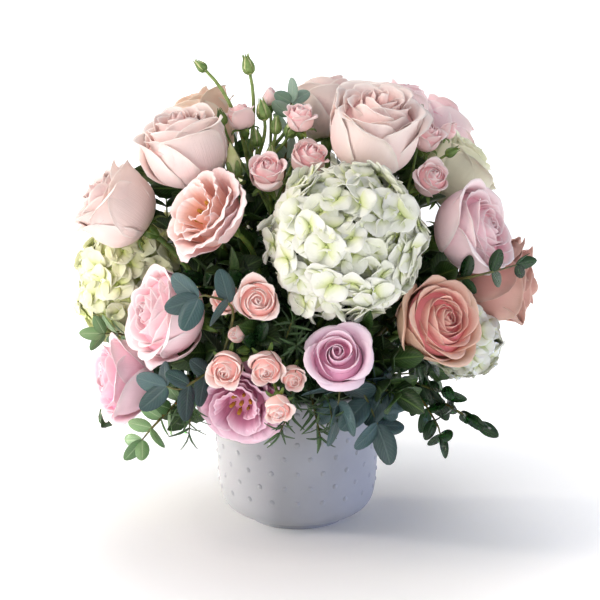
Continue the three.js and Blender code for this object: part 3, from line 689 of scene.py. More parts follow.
def through(points, steps=8):
    """A smooth line through a few points."""
    points = [np.array(point, float) for point in points]
    padded = [2 * points[0] - points[1], *points, 2 * points[-1] - points[-2]]
    line = [points[0]]
    for a, b, c, d in zip(padded, padded[1:], padded[2:], padded[3:]):
        line.extend(bend(b, b + (c - a) / 6, c - (d - b) / 6, c, steps))
    return np.array(line)


def bloom_place(at, faces, radius, base_to_middle):
    """Where a bloom stands: its foot, the way that it faces and its radius."""
    facing = direction(*faces)
    return np.array(at, float) - facing * base_to_middle * radius, facing, radius


def add_petal(pile, place, style, ring, turn, draw, size):
    """One petal: its line is swept across, its corners are rounded off and its rim rolls back."""
    foot, facing, radius = place
    across, along = size
    shares = 1 - (1 - np.linspace(0, 1, along + 1)) ** 1.3
    u, v = np.meshgrid(np.linspace(-1, 1, across + 1), shares)
    edge = np.abs(u)

    stretch = (draw.uniform(0.97, 1.03), draw.uniform(0.96 - 0.08 * ring, 1.04))
    line = through(between(*style["lines"], ring) * stretch)
    far = np.concatenate([[0], np.cumsum(np.linalg.norm(np.diff(line, axis=0), axis=1))])
    lean = np.arctan2(np.gradient(line[:, 0]), np.gradient(line[:, 1]))
    waves = np.zeros_like(u)
    for height, counts in ((1, (2, 3.5)), (0.5, (5, 8)), (style.get("frill", 0), (17, 23))):
        waves += height * np.sin(draw.uniform(*counts) * u + draw.uniform(0, 6.3))

    # How long each column of the petal is, and how much of it rolls back.
    rounding = between(*style["tongues"], ring) * edge**2.8
    point = style.get("point", 0.015) * (1 - edge) ** 3
    column = far[-1] * (1 - rounding + point + 0.015 * waves)
    roll = between(*style["rolls"], ring) * draw.uniform(0.4, 1.5)
    curl = between(*style["curls"], ring)
    rolled = roll * (1 - 0.95 * edge**1.6) * (1 + 0.25 * waves)
    span = v * column
    flat = np.minimum(span, column - rolled)
    start = np.interp(flat, far, lean)
    angle = start + (span - flat) / curl
    out = np.interp(flat, far, line[:, 0]) + curl * (np.cos(start) - np.cos(angle))
    up = np.interp(flat, far, line[:, 1]) + curl * (np.sin(angle) - np.sin(start))

    ruffle = style["ruffle"] * waves * (v**4 + 0.4 * u**4 * v)
    out = out + ruffle * np.cos(start)
    up = up - ruffle * np.sin(start)
    half = between(*style["halves"], ring) * draw.uniform(0.92, 1.08)
    side = turn + half * u
    lap = (0.3 - 0.25 * ring) * u
    belly = draw.uniform(-0.03, 0.07) * ring * u**2
    out = np.maximum(0.01, out * (1 + lap + belly))
    grid = np.stack([out * np.cos(side), out * np.sin(side), up], 2)
    thickness = PETAL_THICKNESS * (1.3 - 0.8 * np.maximum(v, edge**3))[:, :, None]
    petal = stand(sheet(grid * radius, thickness), foot, facing)
    pile.add(petal, sheet_marks(v, edge, ring, draw.random()))


def add_core(pile, place, style):
    """The folded mass of petals deep in a bloom, which its gaps show."""
    foot, facing, radius = place
    lines = [through(between(*style["lines"], ring)) for ring in np.linspace(0.85, 0.0, 8)]
    folds = [line[int(style["core"] * len(line))] for line in lines]
    profile = [(0, 0.1), folds[0] * (0.75, 0.45), *folds, (0, folds[-1][1] * 1.01)]
    points, faces = turned(profile, 24)
    pile.add(stand((points * radius, faces), foot, facing), CORE_MARKS)


def add_bloom(pile, place, style, draw, size=PETAL_GRID):
    """Petals in a spiral, a golden angle apart, from the heart out, round a folded core."""
    add_core(pile, place, style)
    rings = style.get("rings")
    if not rings:
        hollow = style.get("hollow", 0.0)
        shares = np.linspace(0, 1, style["petals"]) ** style["spread"]
        rings = (hollow + (1 - hollow) * shares).tolist()
    start = draw.uniform(0, 2 * math.pi)
    for i, ring in enumerate(rings):
        turn = start + i * GOLDEN_ANGLE + draw.uniform(-0.12, 0.12)
        add_petal(pile, place, style, ring, turn, draw, size)


def petal_finish(name, colours, root_share=0.6):
    """Petal tissue: deep at the heart, pale at the rim, greenish at the root, with long veins."""
    heart, body, guard, rim, root = colours
    finish = Finish(name)
    along, side, ring, shade = finish.marks()
    colour = finish.mix(ring.ramp(0.0, 0.5), heart, body)
    colour = finish.mix(ring.ramp(0.55, 0.95), colour, guard)
    blotch = finish.noise(45.0, 3.0)
    edge = (along.ramp(0.6, 1.0) ** 2).maths("MAXIMUM", side.ramp(0.84, 1.0) * along)
    colour = finish.mix(edge * (0.9 * (0.5 + 0.8 * blotch)), colour, rim)
    colour = finish.mix((1 - along.ramp(0.02, 0.42)) * root_share, colour, root)
    tint = (shade - 0.5) * 0.08 + (blotch - 0.5) * 0.1 + 1.0
    grey = finish.add("ShaderNodeCombineColor", Red=tint, Green=tint, Blue=tint)
    colour = finish.mix(1.0, colour, grey, "MULTIPLY")
    veins = finish.noise(1.6, 2.0, finish.vector(side * 26.0, along * 3.0, shade * 9.0))
    return finish.surface(
        Base_Color=colour,
        Roughness=0.5 + 0.12 * blotch,
        Normal=finish.bump(veins, 0.0005, 0.5),
        Subsurface_Weight=0.12,
        Subsurface_Radius=(1.0, 0.6, 0.5),
        Subsurface_Scale=0.003,
        Sheen_Weight=0.05,
        Specular_IOR_Level=0.22,
    )


# All stems aim at the foam's axis. Level ones aim at LOW_AIM, and steep ones up to AIM_DROP lower.
STEM_DEPTH = 24.0
LOW_AIM = 117.0
AIM_DROP = 48.0
OUT_OF_FOAM = 3.0


def foam_way(point):
    """The way from the foam's axis to a point that a stem carries."""
    rise = math.atan2(point[2] - LOW_AIM, math.hypot(point[0], point[1]))
    aim = (0, 0, LOW_AIM - AIM_DROP * max(0.0, math.sin(rise)))
    return unit(np.subtract(point, aim))


def stem_line(end, arrival):
    """A stem from its cut end in the foam to the point that it carries, by the frame's own rule."""
    way = foam_way(end)
    level = math.hypot(way[0], way[1])
    to_side = (math.hypot(end[0], end[1]) - FOAM_SHOULDER) / level if level > 1e-6 else 0.0
    to_top = (end[2] - FOAM_TOP) / way[2] if way[2] > 1e-6 else 0.0
    entry = end - way * max(to_side, to_top)
    cut = entry - way * STEM_DEPTH
    entry = entry + way * OUT_OF_FOAM
    length = np.linalg.norm(end - entry)
    curve = bend(entry, entry + way * 0.45 * length, end - arrival * 0.3 * length, end, 12)
    return np.concatenate([[cut], [entry], curve])


def polyline(name, lines):
    """A wire mesh of several lines, each (points, radius at the start, radius at the end)."""
    points, edges, radii = [], [], []
    for line, thick, thin in lines:
        first = len(points)
        points.extend(np.asarray(line) * MM)
        edges.extend((first + i, first + i + 1) for i in range(len(line) - 1))
        radii.extend(np.linspace(thick, thin, len(line)) * MM)
    mesh = bpy.data.meshes.new(name)
    mesh.from_pydata(points, edges, [])
    mesh.attributes.new("thickness", "FLOAT", "POINT").data.foreach_set("value", radii)
    return mesh


def tube(recipe, curve, sides):
    """A round skin on a curve, as thick as its points say."""
    settings = {"data_type": "FLOAT"}
    thickness = recipe.add("GeometryNodeInputNamedAttribute", settings, Name="thickness")
    ring = recipe.add("GeometryNodeCurvePrimitiveCircle", Resolution=sides, Radius=1.0)
    sockets = {"Curve": curve, "Profile Curve": ring, "Scale": thickness, "Fill Caps": True}
    return recipe.add("GeometryNodeCurveToMesh", None, sockets)


def tube_recipe():
    """Round stems along wires."""
    recipe = Recipe("stems", Int="Sides", Material="Skin")
    curve = recipe.add("GeometryNodeMeshToCurve", Mesh=recipe.given("Geometry"))
    return recipe.finish((tube(recipe, curve, recipe.given("Sides")), "Skin"))


STEMS = tube_recipe()


def grow_stems(name, wires, sides, skin):
    return grow(STEMS, name, polyline(name, wires), Sides=sides, Skin=skin)


def stem_finish(name, low, high):
    """Green stem skin, streaked along and a little waxy."""
    finish = Finish(name)
    streak = finish.noise(160.0, 3.0)
    return finish.surface(
        Base_Color=finish.mix(streak.ramp(0.3, 0.7), low, high),
        Roughness=0.48,
        Normal=finish.bump(streak, 0.0004),
        Subsurface_Weight=0.05,
    )


GREEN_SKIN = stem_finish("green_stem_skin", "#3c5a20", "#6d8a3a")
ROSE_LINES = []  # the stems, for the leaves that grow on them


def spun(out, side, up, turn):
    """A grid of points, given outwards, sideways and up, turned about +Z."""
    x = out * np.cos(turn) - side * np.sin(turn)
    y = out * np.sin(turn) + side * np.cos(turn)
    return np.stack([x, y, up], 2)


def add_calyx(pile, place, cup, sepal, droop):
    """The green cup under a bloom, with five sepals that bend away from it."""
    foot, facing, _ = place
    outs = (0, 0.45, 0.9, 1, 0.75, 0)
    ups = (-2.2, -2.0, -1.2, -0.5, 0.15, 0.4)
    pile.add(stand(turned([(out * cup, up * cup) for out, up in zip(outs, ups)], 12), foot, facing))
    v, u = np.meshgrid(np.linspace(0, 1, 8), np.linspace(-1, 1, 5), indexing="ij")
    side = u * (0.42 * cup * (1 - v) ** 0.7 * (0.8 + 0.6 * v) + 0.25)
    out = 0.6 * cup + sepal * np.sin(v * 1.35)
    up = -0.35 * cup - droop * sepal * v**2 + 0.14 * sepal * np.sin(3 * v) + 0.12 * cup * u**2
    for i in range(5):
        pile.add(stand(sheet(spun(out, side, up, 2 * math.pi * i / 5), 0.6), foot, facing))


def cupped_stem(name, node, place, radii, depth, *cup):
    """A stem with the cup that its bloom sits in, in place of its node. Returns the stem's line."""
    foot, facing, _ = place
    line = stem_line(foot - facing * depth, facing)
    stem = grow_stems("stem", [(line, *radii)], STEM_SIDES, GREEN_SKIN)
    pile = Pile()
    add_calyx(pile, place, *cup)
    settle(join(name, [stem, pile.piece("calyx", GREEN_SKIN)]), node)
    return line


def make_roses():
    finishes = {}
    for number, (at, faces, radius, style, colours) in enumerate(ROSES, 1):
        name = f"rose_{number:02d}"
        place = bloom_place(at, faces, radius, ROSE_BASE_TO_MIDDLE)
        if colours not in finishes:
            finishes[colours] = petal_finish(f"rose_petal_{len(finishes) + 1}", colours)
        pile = Pile()
        add_bloom(pile, place, style, random.Random(100 + number))
        settle(pile.piece(f"{name}_petals", finishes[colours]), f"{name}_bloom")
        names = (f"{name}_stem_and_cup", f"{name}_stem")
        cup = (ROSE_CUP * radius, ROSE_SEPAL * radius, ROSE_SEPAL_DROOP)
        ROSE_LINES.append(cupped_stem(*names, place, ROSE_STEM, ROSE_CUP_DEPTH, *cup))


make_roses()

# ---- Hydrangeas ----------------------------------------------------------------------------------
# Four round heads of papery white florets on thick stems. Each floret has four broad sepals round a
# tiny eye on a thin stalk, cream at its rim and lime green towards the eye.

# Each head: its middle, the way that it faces, its radius, and its florets' number and radius.
HYDRANGEAS = [
    ((34, -88, 230), (-72, 30), 54, 135, 13.0),
    ((-120, 26, 184), (170, 10), 52, 125, 13.0),
    ((124, -29, 145), (-18, -2), 26, 46, 10.5),
    ((-2, 90, 222), (92, 40), 53, 125, 13.0),
]
LIME_HEAD = 2
HEAD_CLEARANCE = 2.0
HEAD_NECK = -0.55  # florets stop at this share of the radius below the middle
FLORET_DEPTH = 0.93  # where a floret's eye lies, as a share of the head's radius
FLORET_TILT = 0.45
HEAD_STEM = (2.9, 2.7)
HEAD_STEM_TOP = 0.3  # where a stem ends, as a share of the radius short of the middle
BLOOMS += [(np.array(at, float), radius + HEAD_CLEARANCE) for at, _, radius, *_ in HYDRANGEAS]


def floret_shape(name, draw):
    """A floret 1 mm in radius that looks up +Z: four sepals in crossed pairs, an eye and a stalk."""
    pile = Pile()
    rows = np.array((0.06, 0.3, 0.56, 0.8, 0.94, 1.0))
    v, u = np.meshgrid(rows, np.linspace(-1, 1, 4), indexing="ij")
    half = 0.68 * np.sin(math.pi * np.minimum(v, 0.955) ** 1.1) ** 0.5
    for i in range(4):
        out = v * (1 + 0.04 * (1 - u**2)) * draw.uniform(0.92, 1.05)
        cup = draw.uniform(0.12, 0.4)
        droop = draw.uniform(-0.2, 0.16)
        wave = 0.05 * np.sin(draw.uniform(1.5, 3) * u + draw.uniform(0, 6)) * v
        up = cup * u**2 * half + droop * v**2 + 0.12 * v + 0.07 * (i % 2) + wave
        turn = math.pi / 2 * i + draw.uniform(-0.1, 0.1)
        pile.add(sheet(spun(out, u * half, up, turn), 0.035), sheet_marks(v, np.abs(u)))
    pile.add(turned([(0, -0.02), (0.1, 0.02), (0.08, 0.15), (0, 0.18)], 6), (0.0, 0.0, 0.5, 0.0))
    pile.add(turned([(0, -1.9), (0.05, -1.88), (0.06, 0.0), (0, 0.02)], 4), (0.0, 0.0, 1.0, 0.0))
    return stored(pile.piece(name))


def stored(model):
    """Keeps an object out of the scene, as a model that a recipe copies."""
    bpy.context.scene.collection.objects.unlink(model)
    return model


def head_recipe():
    """Florets a golden angle apart over a ball, each tilted and spun at random."""
    objects = "First Floret, Second Floret"
    recipe = Recipe(
        "head", Object=objects, Int="Florets, Seed", Float="Radius, Size", Material="Sepals"
    )
    count = recipe.given("Florets")
    index = recipe.add("GeometryNodeInputIndex")
    seed = recipe.given("Seed")
    up = 1.0 - (index + 0.5) / count * (1.0 - HEAD_NECK)
    out = (1.0 - up * up).maths("SQRT")
    angle = index * GOLDEN_ANGLE + recipe.random(-0.12, 0.12, seed)
    x = angle.maths("COSINE") * out
    y = angle.maths("SINE") * out
    depth = recipe.random(0.0, 1.0, seed + 1.0)
    lump = (x * 4.0 + seed).maths("SINE") * (y * 3.0 + up * 3.5).maths("SINE")
    reach = recipe.given("Radius") * (FLORET_DEPTH - 0.1 + 0.13 * depth + 0.06 * lump)
    points = recipe.points_at(count, recipe.vector(x * reach, y * reach, up * reach))
    tilt = [recipe.random(-FLORET_TILT, FLORET_TILT, seed + extra) for extra in (2.0, 3.0, 4.0)]
    rotation = recipe.aligned("Z", recipe.vector(x + tilt[0], y + tilt[1], up + tilt[2]))
    spin = recipe.random(0.0, 2 * math.pi, seed + 5.0)
    rotation = recipe.turn(rotation, (0.0, 0.0, 1.0), spin)
    size = recipe.given("Size") * recipe.random(0.85, 1.12, seed + 6.0)
    which = recipe.random(0.0, 1.0, seed + 7.0)
    florets = []
    for label, test in (("First Floret", "LESS_THAN"), ("Second Floret", "GREATER_THAN")):
        chosen = which.maths(test, 0.5)
        model = recipe.model(label)
        florets.append(recipe.copies(points, model, rotation, size, Selection=chosen))
    return recipe.finish((recipe.shaded(recipe.joined(*florets), seed + 8.0), "Sepals"))


def sepal_finish(name, rim, body, eye):
    """Papery sepals with fine veins, lime green at the eye, and green on the stalks."""
    finish = Finish(name)
    along, side, part, _ = finish.marks()
    shade = finish.shade()
    colour = finish.mix(along.ramp(0.05, 0.5), eye, body)
    colour = finish.mix(along.ramp(0.45, 1.0) * (0.45 + 0.55 * shade), colour, rim)
    blotch = finish.noise(60.0, 3.0)
    colour = finish.mix(blotch.ramp(0.45, 0.8) * 0.35 * (1 - shade), colour, eye)
    colour = finish.mix(part.ramp(0.2, 0.8), colour, "#8fa653")
    veins = finish.noise(2.2, 2.0, finish.vector(side * 9.0, along * 2.0, shade * 9.0))
    return finish.surface(
        Base_Color=colour,
        Roughness=0.55 + 0.1 * blotch,
        Normal=finish.bump(veins, 0.0005, 0.6),
        Subsurface_Weight=0.1,
        Subsurface_Radius=(0.9, 1.0, 0.7),
        Subsurface_Scale=0.002,
        Specular_IOR_Level=0.3,
    )


def make_hydrangeas():
    draw = random.Random(7)
    first, second = (floret_shape(f"floret_{i}", draw) for i in (1, 2))
    white = sepal_finish("white_sepals", "#efefe9", "#eaecda", "#d2dc92")
    lime = sepal_finish("cream_green_sepals", "#f0f0d8", "#ebecc2", "#ccd67c")
    recipe = head_recipe()
    for number, (at, faces, radius, florets, floret) in enumerate(HYDRANGEAS, 1):
        name = f"hydrangea_{number:02d}"
        facing = direction(*faces)
        head = grow(
            recipe,
            f"{name}_florets",
            First_Floret=first,
            Second_Floret=second,
            Seed=40 + number,
            Florets=florets,
            Radius=radius * MM,
            Size=floret,
            Sepals=lime if number == LIME_HEAD else white,
        )
        turn = UP.rotation_difference(Vector(facing)).to_matrix().to_4x4()
        head.data.transform(Matrix.Translation(Vector(at) * MM) @ turn)
        settle(head, f"{name}_head")
        line = stem_line(np.array(at, float) - facing * HEAD_STEM_TOP * radius, facing)
        stem = grow_stems(f"{name}_stalk", [(line, *HEAD_STEM)], STEM_SIDES, GREEN_SKIN)
        settle(stem, f"{name}_stem")


make_hydrangeas()

# ---- Lisianthus ----------------------------------------------------------------------------------
# Two open double flowers with frilled thin petals round a yellow eye, and a stem of closed buds in
# narrow green sepals, on smooth thin stems that are pushed into the foam.

FRILLED = {
    "lines": (
        ((0.03, 0.05), (0.14, 0.25), (0.22, 0.55), (0.24, 0.85), (0.28, 1.02), (0.36, 1.12)),
        ((0.05, 0.03), (0.26, 0.14), (0.48, 0.4), (0.6, 0.74), (0.7, 0.94), (0.84, 1.02)),
        ((0.06, 0.0), (0.34, 0.04), (0.66, 0.18), (0.86, 0.4), (1.0, 0.56), (1.16, 0.56)),
    ),
    "rolls": (0.04, 0.1, 0.16),
    "curls": (0.4, 0.3, 0.25),
    "halves": (1.1, 0.95, 0.88),
    "tongues": (0.1, 0.14, 0.22),
    "petals": 19,
    "ruffle": 0.052,
    "frill": 0.34,
    "core": 0.4,
    "hollow": 0.1,
    "spread": 0.85,
}
FRILLED_GRID = (36, 14)
PEACH_FRILL = ("#f8b498", "#fdcabc", "#fdd2d2", "#fff0f0", "#f4d080")
MAUVE_FRILL = ("#dc86aa", "#eeaac8", "#efb4cc", "#f9dae6", "#cc8a3c")

# Each flower: its middle, the azimuth and elevation that it faces, its radius and its palette.
LISIANTHUS = [
    ((-59, -84, 247), (-146, 32), 32, PEACH_FRILL),
    ((-38, -92, 118), (-104, -14), 30, MAUVE_FRILL),
]
LISIANTHUS_BASE_TO_MIDDLE = 0.5
LISIANTHUS_STEM = (2.1, 1.9)
LISIANTHUS_CUP = (4.5, 13.0, 0.1)  # its radius, its sepals' length, and their droop
LISIANTHUS_CUP_DEPTH = 5.0
OUTER_ANTHERS = 6
ANTHER_LEAN = 0.336  # sideways for each millimetre up
BLOOMS += [(np.array(at, float), float(radius)) for at, _, radius, _ in LISIANTHUS]

BUD_FORK = (-34, -4, 262)
BUD_STEM = (1.9, 1.8)
BUD_STALK = (2.0, 1.2)

# Each bud: its foot, the way that it points, its radius, and how far it has opened.
BUDS = [
    ((-67, -12, 346), (172, 42), 3.6, 0),
    ((-35, -2, 343), (168, 76), 4.6, 0),
    ((-24, -17, 310), (170, 80), 5, 0),
    ((-30, -14, 290), (150, 84), 4.4, 0),
    ((-16, -20, 300), (-60, 84), 4.2, 0),
    ((-7, -21, 298), (-10, 64), 5, 0.4),
    ((-3, -2, 314), (-20, 80), 4, 0),
    ((-20, -22, 280), (-70, 74), 4.2, 0),
    ((-46, -26, 274), (-150, 70), 4.6, 0),
    ((-44, -48, 272), (150, 78), 5.2, 1),
]
BLOOMS.append((np.array((-22.0, 4.0, 308.0)), 25.0))  # the clear space that the buds stand in


def anther_finish():
    finish = Finish("yellow_anthers")
    grain = finish.noise(700.0, 2.0)
    colour = finish.mix(grain, "#8a5a18", "#d9a63a")
    return finish.surface(Base_Color=colour, Roughness=0.8, Normal=finish.bump(grain, 0.0006))


def add_anthers(pile, place):
    """An upright anther and six that lean out round it, each a knob on a thin stalk."""
    foot, facing, radius = place
    ups = (0, 0.4, 0.6 * radius, 0.64 * radius, 0.76 * radius, 0.8 * radius)
    for i in range(1 + OUTER_ANTHERS):
        points, faces = turned(list(zip((0, 0.5, 0.5, 1.6, 1.4, 0), ups)), 7)
        lean = ANTHER_LEAN if i else 0.0
        turn = 2 * math.pi * i / OUTER_ANTHERS
        points[:, 0] += lean * math.cos(turn) * points[:, 2]
        points[:, 1] += lean * math.sin(turn) * points[:, 2]
        pile.add(stand((points, faces), foot, facing), kind=1)


def make_lisianthus():
    anthers = anther_finish()
    for number, (at, faces, radius, colours) in enumerate(LISIANTHUS, 1):
        name = f"lisianthus_{number:02d}"
        place = bloom_place(at, faces, radius, LISIANTHUS_BASE_TO_MIDDLE)
        pile = Pile()
        add_bloom(pile, place, FRILLED, random.Random(300 + number), FRILLED_GRID)
        add_anthers(pile, place)
        petals = petal_finish(f"{name}_petal", colours)
        settle(pile.piece(f"{name}_petals", petals, anthers), f"{name}_bloom")
        names = (f"{name}_stalk", f"{name}_stem")
        cupped_stem(*names, place, LISIANTHUS_STEM, LISIANTHUS_CUP_DEPTH, *LISIANTHUS_CUP)


class Fork:
    """A main stem, and the stalks that leave it at its fork."""

    def __init__(self, fork, radii):
        self.fork = np.array(fork, float)
        main = stem_line(self.fork, foam_way(fork))
        self.leaving = unit(main[-1] - main[-2])
        self.wires = [(main, *radii)]

    def add(self, end, arrival, radii):
        length = np.linalg.norm(end - self.fork)
        start = self.fork - self.leaving * 2
        pull = self.fork + self.leaving * 0.3 * length
        curve = bend(start, pull, end - arrival * 0.35 * length, end + arrival, 10)
        self.wires.append((np.concatenate([[start], curve]), *radii))


def add_bud(pile, foot, facing, size, turn=0.0, opened=0.0, tip_kind=1):
    """A furled tip in five long sepals. The more the bud is opened, the more of its tip shows."""
    rises = (0, 0.1, 0.7, 1.3, 2.1, 2.7, 3.1, 3.2)
    outs = (0, 0.5, 0.9, 0.98, 0.72, 0.36, 0.12, 0)
    stretch = 1 + 0.5 * opened
    tip = [(out * size, up * size * stretch) for out, up in zip(outs, rises)]
    points, faces = turned(tip, 14)
    swirl = 0.12 * np.sin(3 * np.arctan2(points[:, 1], points[:, 0]) + points[:, 2] / size * 1.6)
    points[:, :2] *= (1 + swirl)[:, None]
    pile.add(stand((points, faces), foot, facing), kind=tip_kind)
    shares = (0, 0.12, 0.3, 0.55, 0.8, 1)
    top = 0.32 + 0.25 * (turn % 2) + 0.6 * opened
    ends = (0.12, 0.78, 1.08, 0.9 + 0.16 * opened, 0.5 + 0.6 * opened, top)
    v, u = np.meshgrid(np.linspace(0, 1, 9), np.linspace(-1, 1, 5), indexing="ij")
    out = np.interp(v, shares, ends) * size
    up = size * ((3.5 - 1.3 * opened) * v - 0.05)
    for i in range(5):
        angle = 2 * math.pi * i / 5 + u * (0.6 * (1 - v) ** 0.6 + 0.06) + turn
        grid = np.stack([out * np.cos(angle), out * np.sin(angle), up], 2)
        pile.add(stand(sheet(grid, 0.45), foot, facing))


def make_buds():
    stalks = Fork(BUD_FORK, BUD_STEM)
    pile = Pile()
    for turn, (foot, faces, size, opened) in enumerate(BUDS):
        facing = direction(*faces)
        stalks.add(foot, facing, BUD_STALK)
        add_bud(pile, foot, facing, size, turn, opened)
    tips = stem_finish("bud_tip", "#c3cc84", "#e6e4b4")
    skin = stem_finish("bud_green_skin", "#547434", "#93ad62")
    stems = grow_stems("stems", stalks.wires, STALK_SIDES, skin)
    stems = join("lisianthus_bud_stem", [stems, pile.piece("buds", skin, tips)])
    settle(stems, "lisianthus_buds")


make_lisianthus()
make_buds()

# ---- Spray roses ---------------------------------------------------------------------------------
# Five branched stems with small salmon roses, half open or still furled, each in its own green cup,
# and a few closed buds. The stalks of a spray leave its main stem at one fork.

SMALL_ROSE = {
    "lines": (
        ((0.03, 0.1), (0.08, 0.5), (0.12, 1.0), (0.14, 1.35), (0.1, 1.56), (0.04, 1.64)),
        ((0.06, 0.05), (0.34, 0.24), (0.55, 0.66), (0.58, 1.1), (0.5, 1.4), (0.5, 1.52)),
        ((0.08, 0.0), (0.5, 0.05), (0.8, 0.34), (0.88, 0.75), (0.92, 1.08), (1.12, 1.3)),
    ),
    "rolls": (0.03, 0.08, 0.2),
    "curls": (0.25, 0.25, 0.16),
    "halves": (2.3, 1.4, 1.3),
    "tongues": (0.2, 0.35, 0.55),
    "petals": 17,
    "ruffle": 0.03,
    "core": 0.66,
    "point": 0.1,
    "spread": 0.95,
}
FURLED = {
    "lines": (
        ((0.03, 0.1), (0.08, 0.6), (0.14, 1.1), (0.14, 1.6), (0.1, 1.85), (0.06, 1.95)),
        ((0.06, 0.05), (0.4, 0.26), (0.6, 0.7), (0.56, 1.2), (0.36, 1.6), (0.26, 1.8)),
        ((0.08, 0.0), (0.5, 0.05), (0.78, 0.4), (0.8, 0.85), (0.62, 1.3), (0.48, 1.6)),
    ),
    "rolls": (0.02, 0.06, 0.16),
    "curls": (0.3, 0.3, 0.2),
    "halves": (2.2, 1.6, 1.4),
    "tongues": (0.2, 0.35, 0.5),
    "petals": 11,
    "ruffle": 0.02,
    "core": 0.7,
    "point": 0.1,
    "spread": 1.0,
}
LARGEST_FURLED = 8.0
SMALL_GRID = (10, 10)
SALMON = ("#f29a94", "#fcbeb6", "#fdd2ca", "#fff0ea", "#f2dcb0")
ROSY = ("#f09aa4", "#fbc2c4", "#fdd8d6", "#fff0ee", "#eedeb4")
SPRAY_BASE_TO_MIDDLE = 0.7
SPRAY_CLEARANCE = 5.0
SPRAY_STEM = (1.9, 1.7)
SPRAY_STALK = (1.3, 1.1)
CLOSED_STALK = (1.2, 0.9)
SPRAY_SEPAL = 0.85
SPRAY_SEPAL_DROOP = 0.15

# Each spray: its fork, its palette, its blooms and its closed buds, with their places as above.
SPRAYS = [
    (
        (-18, -36, 236),
        ROSY,
        [
            ((-21, -62, 275), (-95, 50), 14),
            ((8, -44, 283), (-60, 55), 14),
            ((-41, -20, 312), (-170, 78), 11),
            ((2, -36, 312), (-100, 70), 11),
            ((-20, 0, 325), (100, 84), 7),
        ],
        [((-54, -22, 307), (160, 74), 3.8)],
    ),
    (
        (76, -26, 246),
        ROSY,
        [
            ((96, -46, 269), (-70, 35), 13),
            ((95, -20, 297), (-60, 56), 12),
            ((112, -12, 302), (-30, 40), 7),
        ],
        [((90, -20, 308), (60, 82), 4.2), ((108, -34, 286), (-10, 30), 3.4)],
    ),
    (
        (-33, -84, 172),
        SALMON,
        [
            ((-27, -112, 193), (-88, 14), 15),
            ((-48, -96, 191), (-120, 30), 11),
            ((-42, -110, 169), (-110, 10), 7),
        ],
        [((-34, -108, 158), (-130, 4), 3.2)],
    ),
    (
        (-22, -88, 146),
        SALMON,
        [
            ((-48, -118, 148), (-100, -12), 13),
            ((-21, -122, 150), (-90, -20), 12),
            ((-3, -121, 142), (-80, -18), 9),
            ((-13, -134, 124), (-88, -34), 10),
        ],
        [],
    ),
    (
        (4, 88, 144),
        SALMON,
        [
            ((8, 132, 156), (86, 10), 15),
            ((-22, 126, 146), (110, -4), 13),
            ((32, 124, 138), (70, -8), 12),
        ],
        [],
    ),
]
for _, _, small_blooms, _ in SPRAYS:
    BLOOMS += [(np.array(at, float), radius + SPRAY_CLEARANCE) for at, _, radius in small_blooms]


def make_sprays():
    finishes = {
        ROSY: petal_finish("rosy_spray_petal", ROSY, root_share=0.2),
        SALMON: petal_finish("salmon_spray_petal", SALMON, root_share=0.2),
    }
    for number, (fork, colours, blooms, closed) in enumerate(SPRAYS, 1):
        draw = random.Random(500 + number)
        name = f"spray_rose_{number:02d}"
        stalks = Fork(fork, SPRAY_STEM)
        petals, cups = Pile(), Pile()
        for at, faces, radius in blooms:
            place = bloom_place(at, faces, radius, SPRAY_BASE_TO_MIDDLE)
            style = SMALL_ROSE if radius > LARGEST_FURLED else FURLED
            add_bloom(petals, place, style, draw, SMALL_GRID)
            add_calyx(cups, place, 0.3 * radius + 0.6, SPRAY_SEPAL * radius, SPRAY_SEPAL_DROOP)
            stalks.add(*place[:2], SPRAY_STALK)
        for turn, (foot, faces, size) in enumerate(closed):
            facing = direction(*faces)
            add_bud(cups, foot, facing, size, turn, tip_kind=0)
            stalks.add(foot, facing, CLOSED_STALK)
        settle(petals.piece(f"{name}_petals", finishes[colours]), name)
        stems = grow_stems("stems", stalks.wires, STALK_SIDES, GREEN_SKIN)
        stems = join(f"{name}_stalks", [stems, cups.piece("cups", GREEN_SKIN)])
        settle(stems, name)


make_sprays()

# ---- Foliage -------------------------------------------------------------------------------------
# Eucalyptus with round blue-grey leaves, box with small glossy ones, the roses' own leaves, and
# rosemary sprigs that fill the gaps. Leaves stand in pairs along thin brown-green twigs, whose cut
# ends are pushed into the foam.

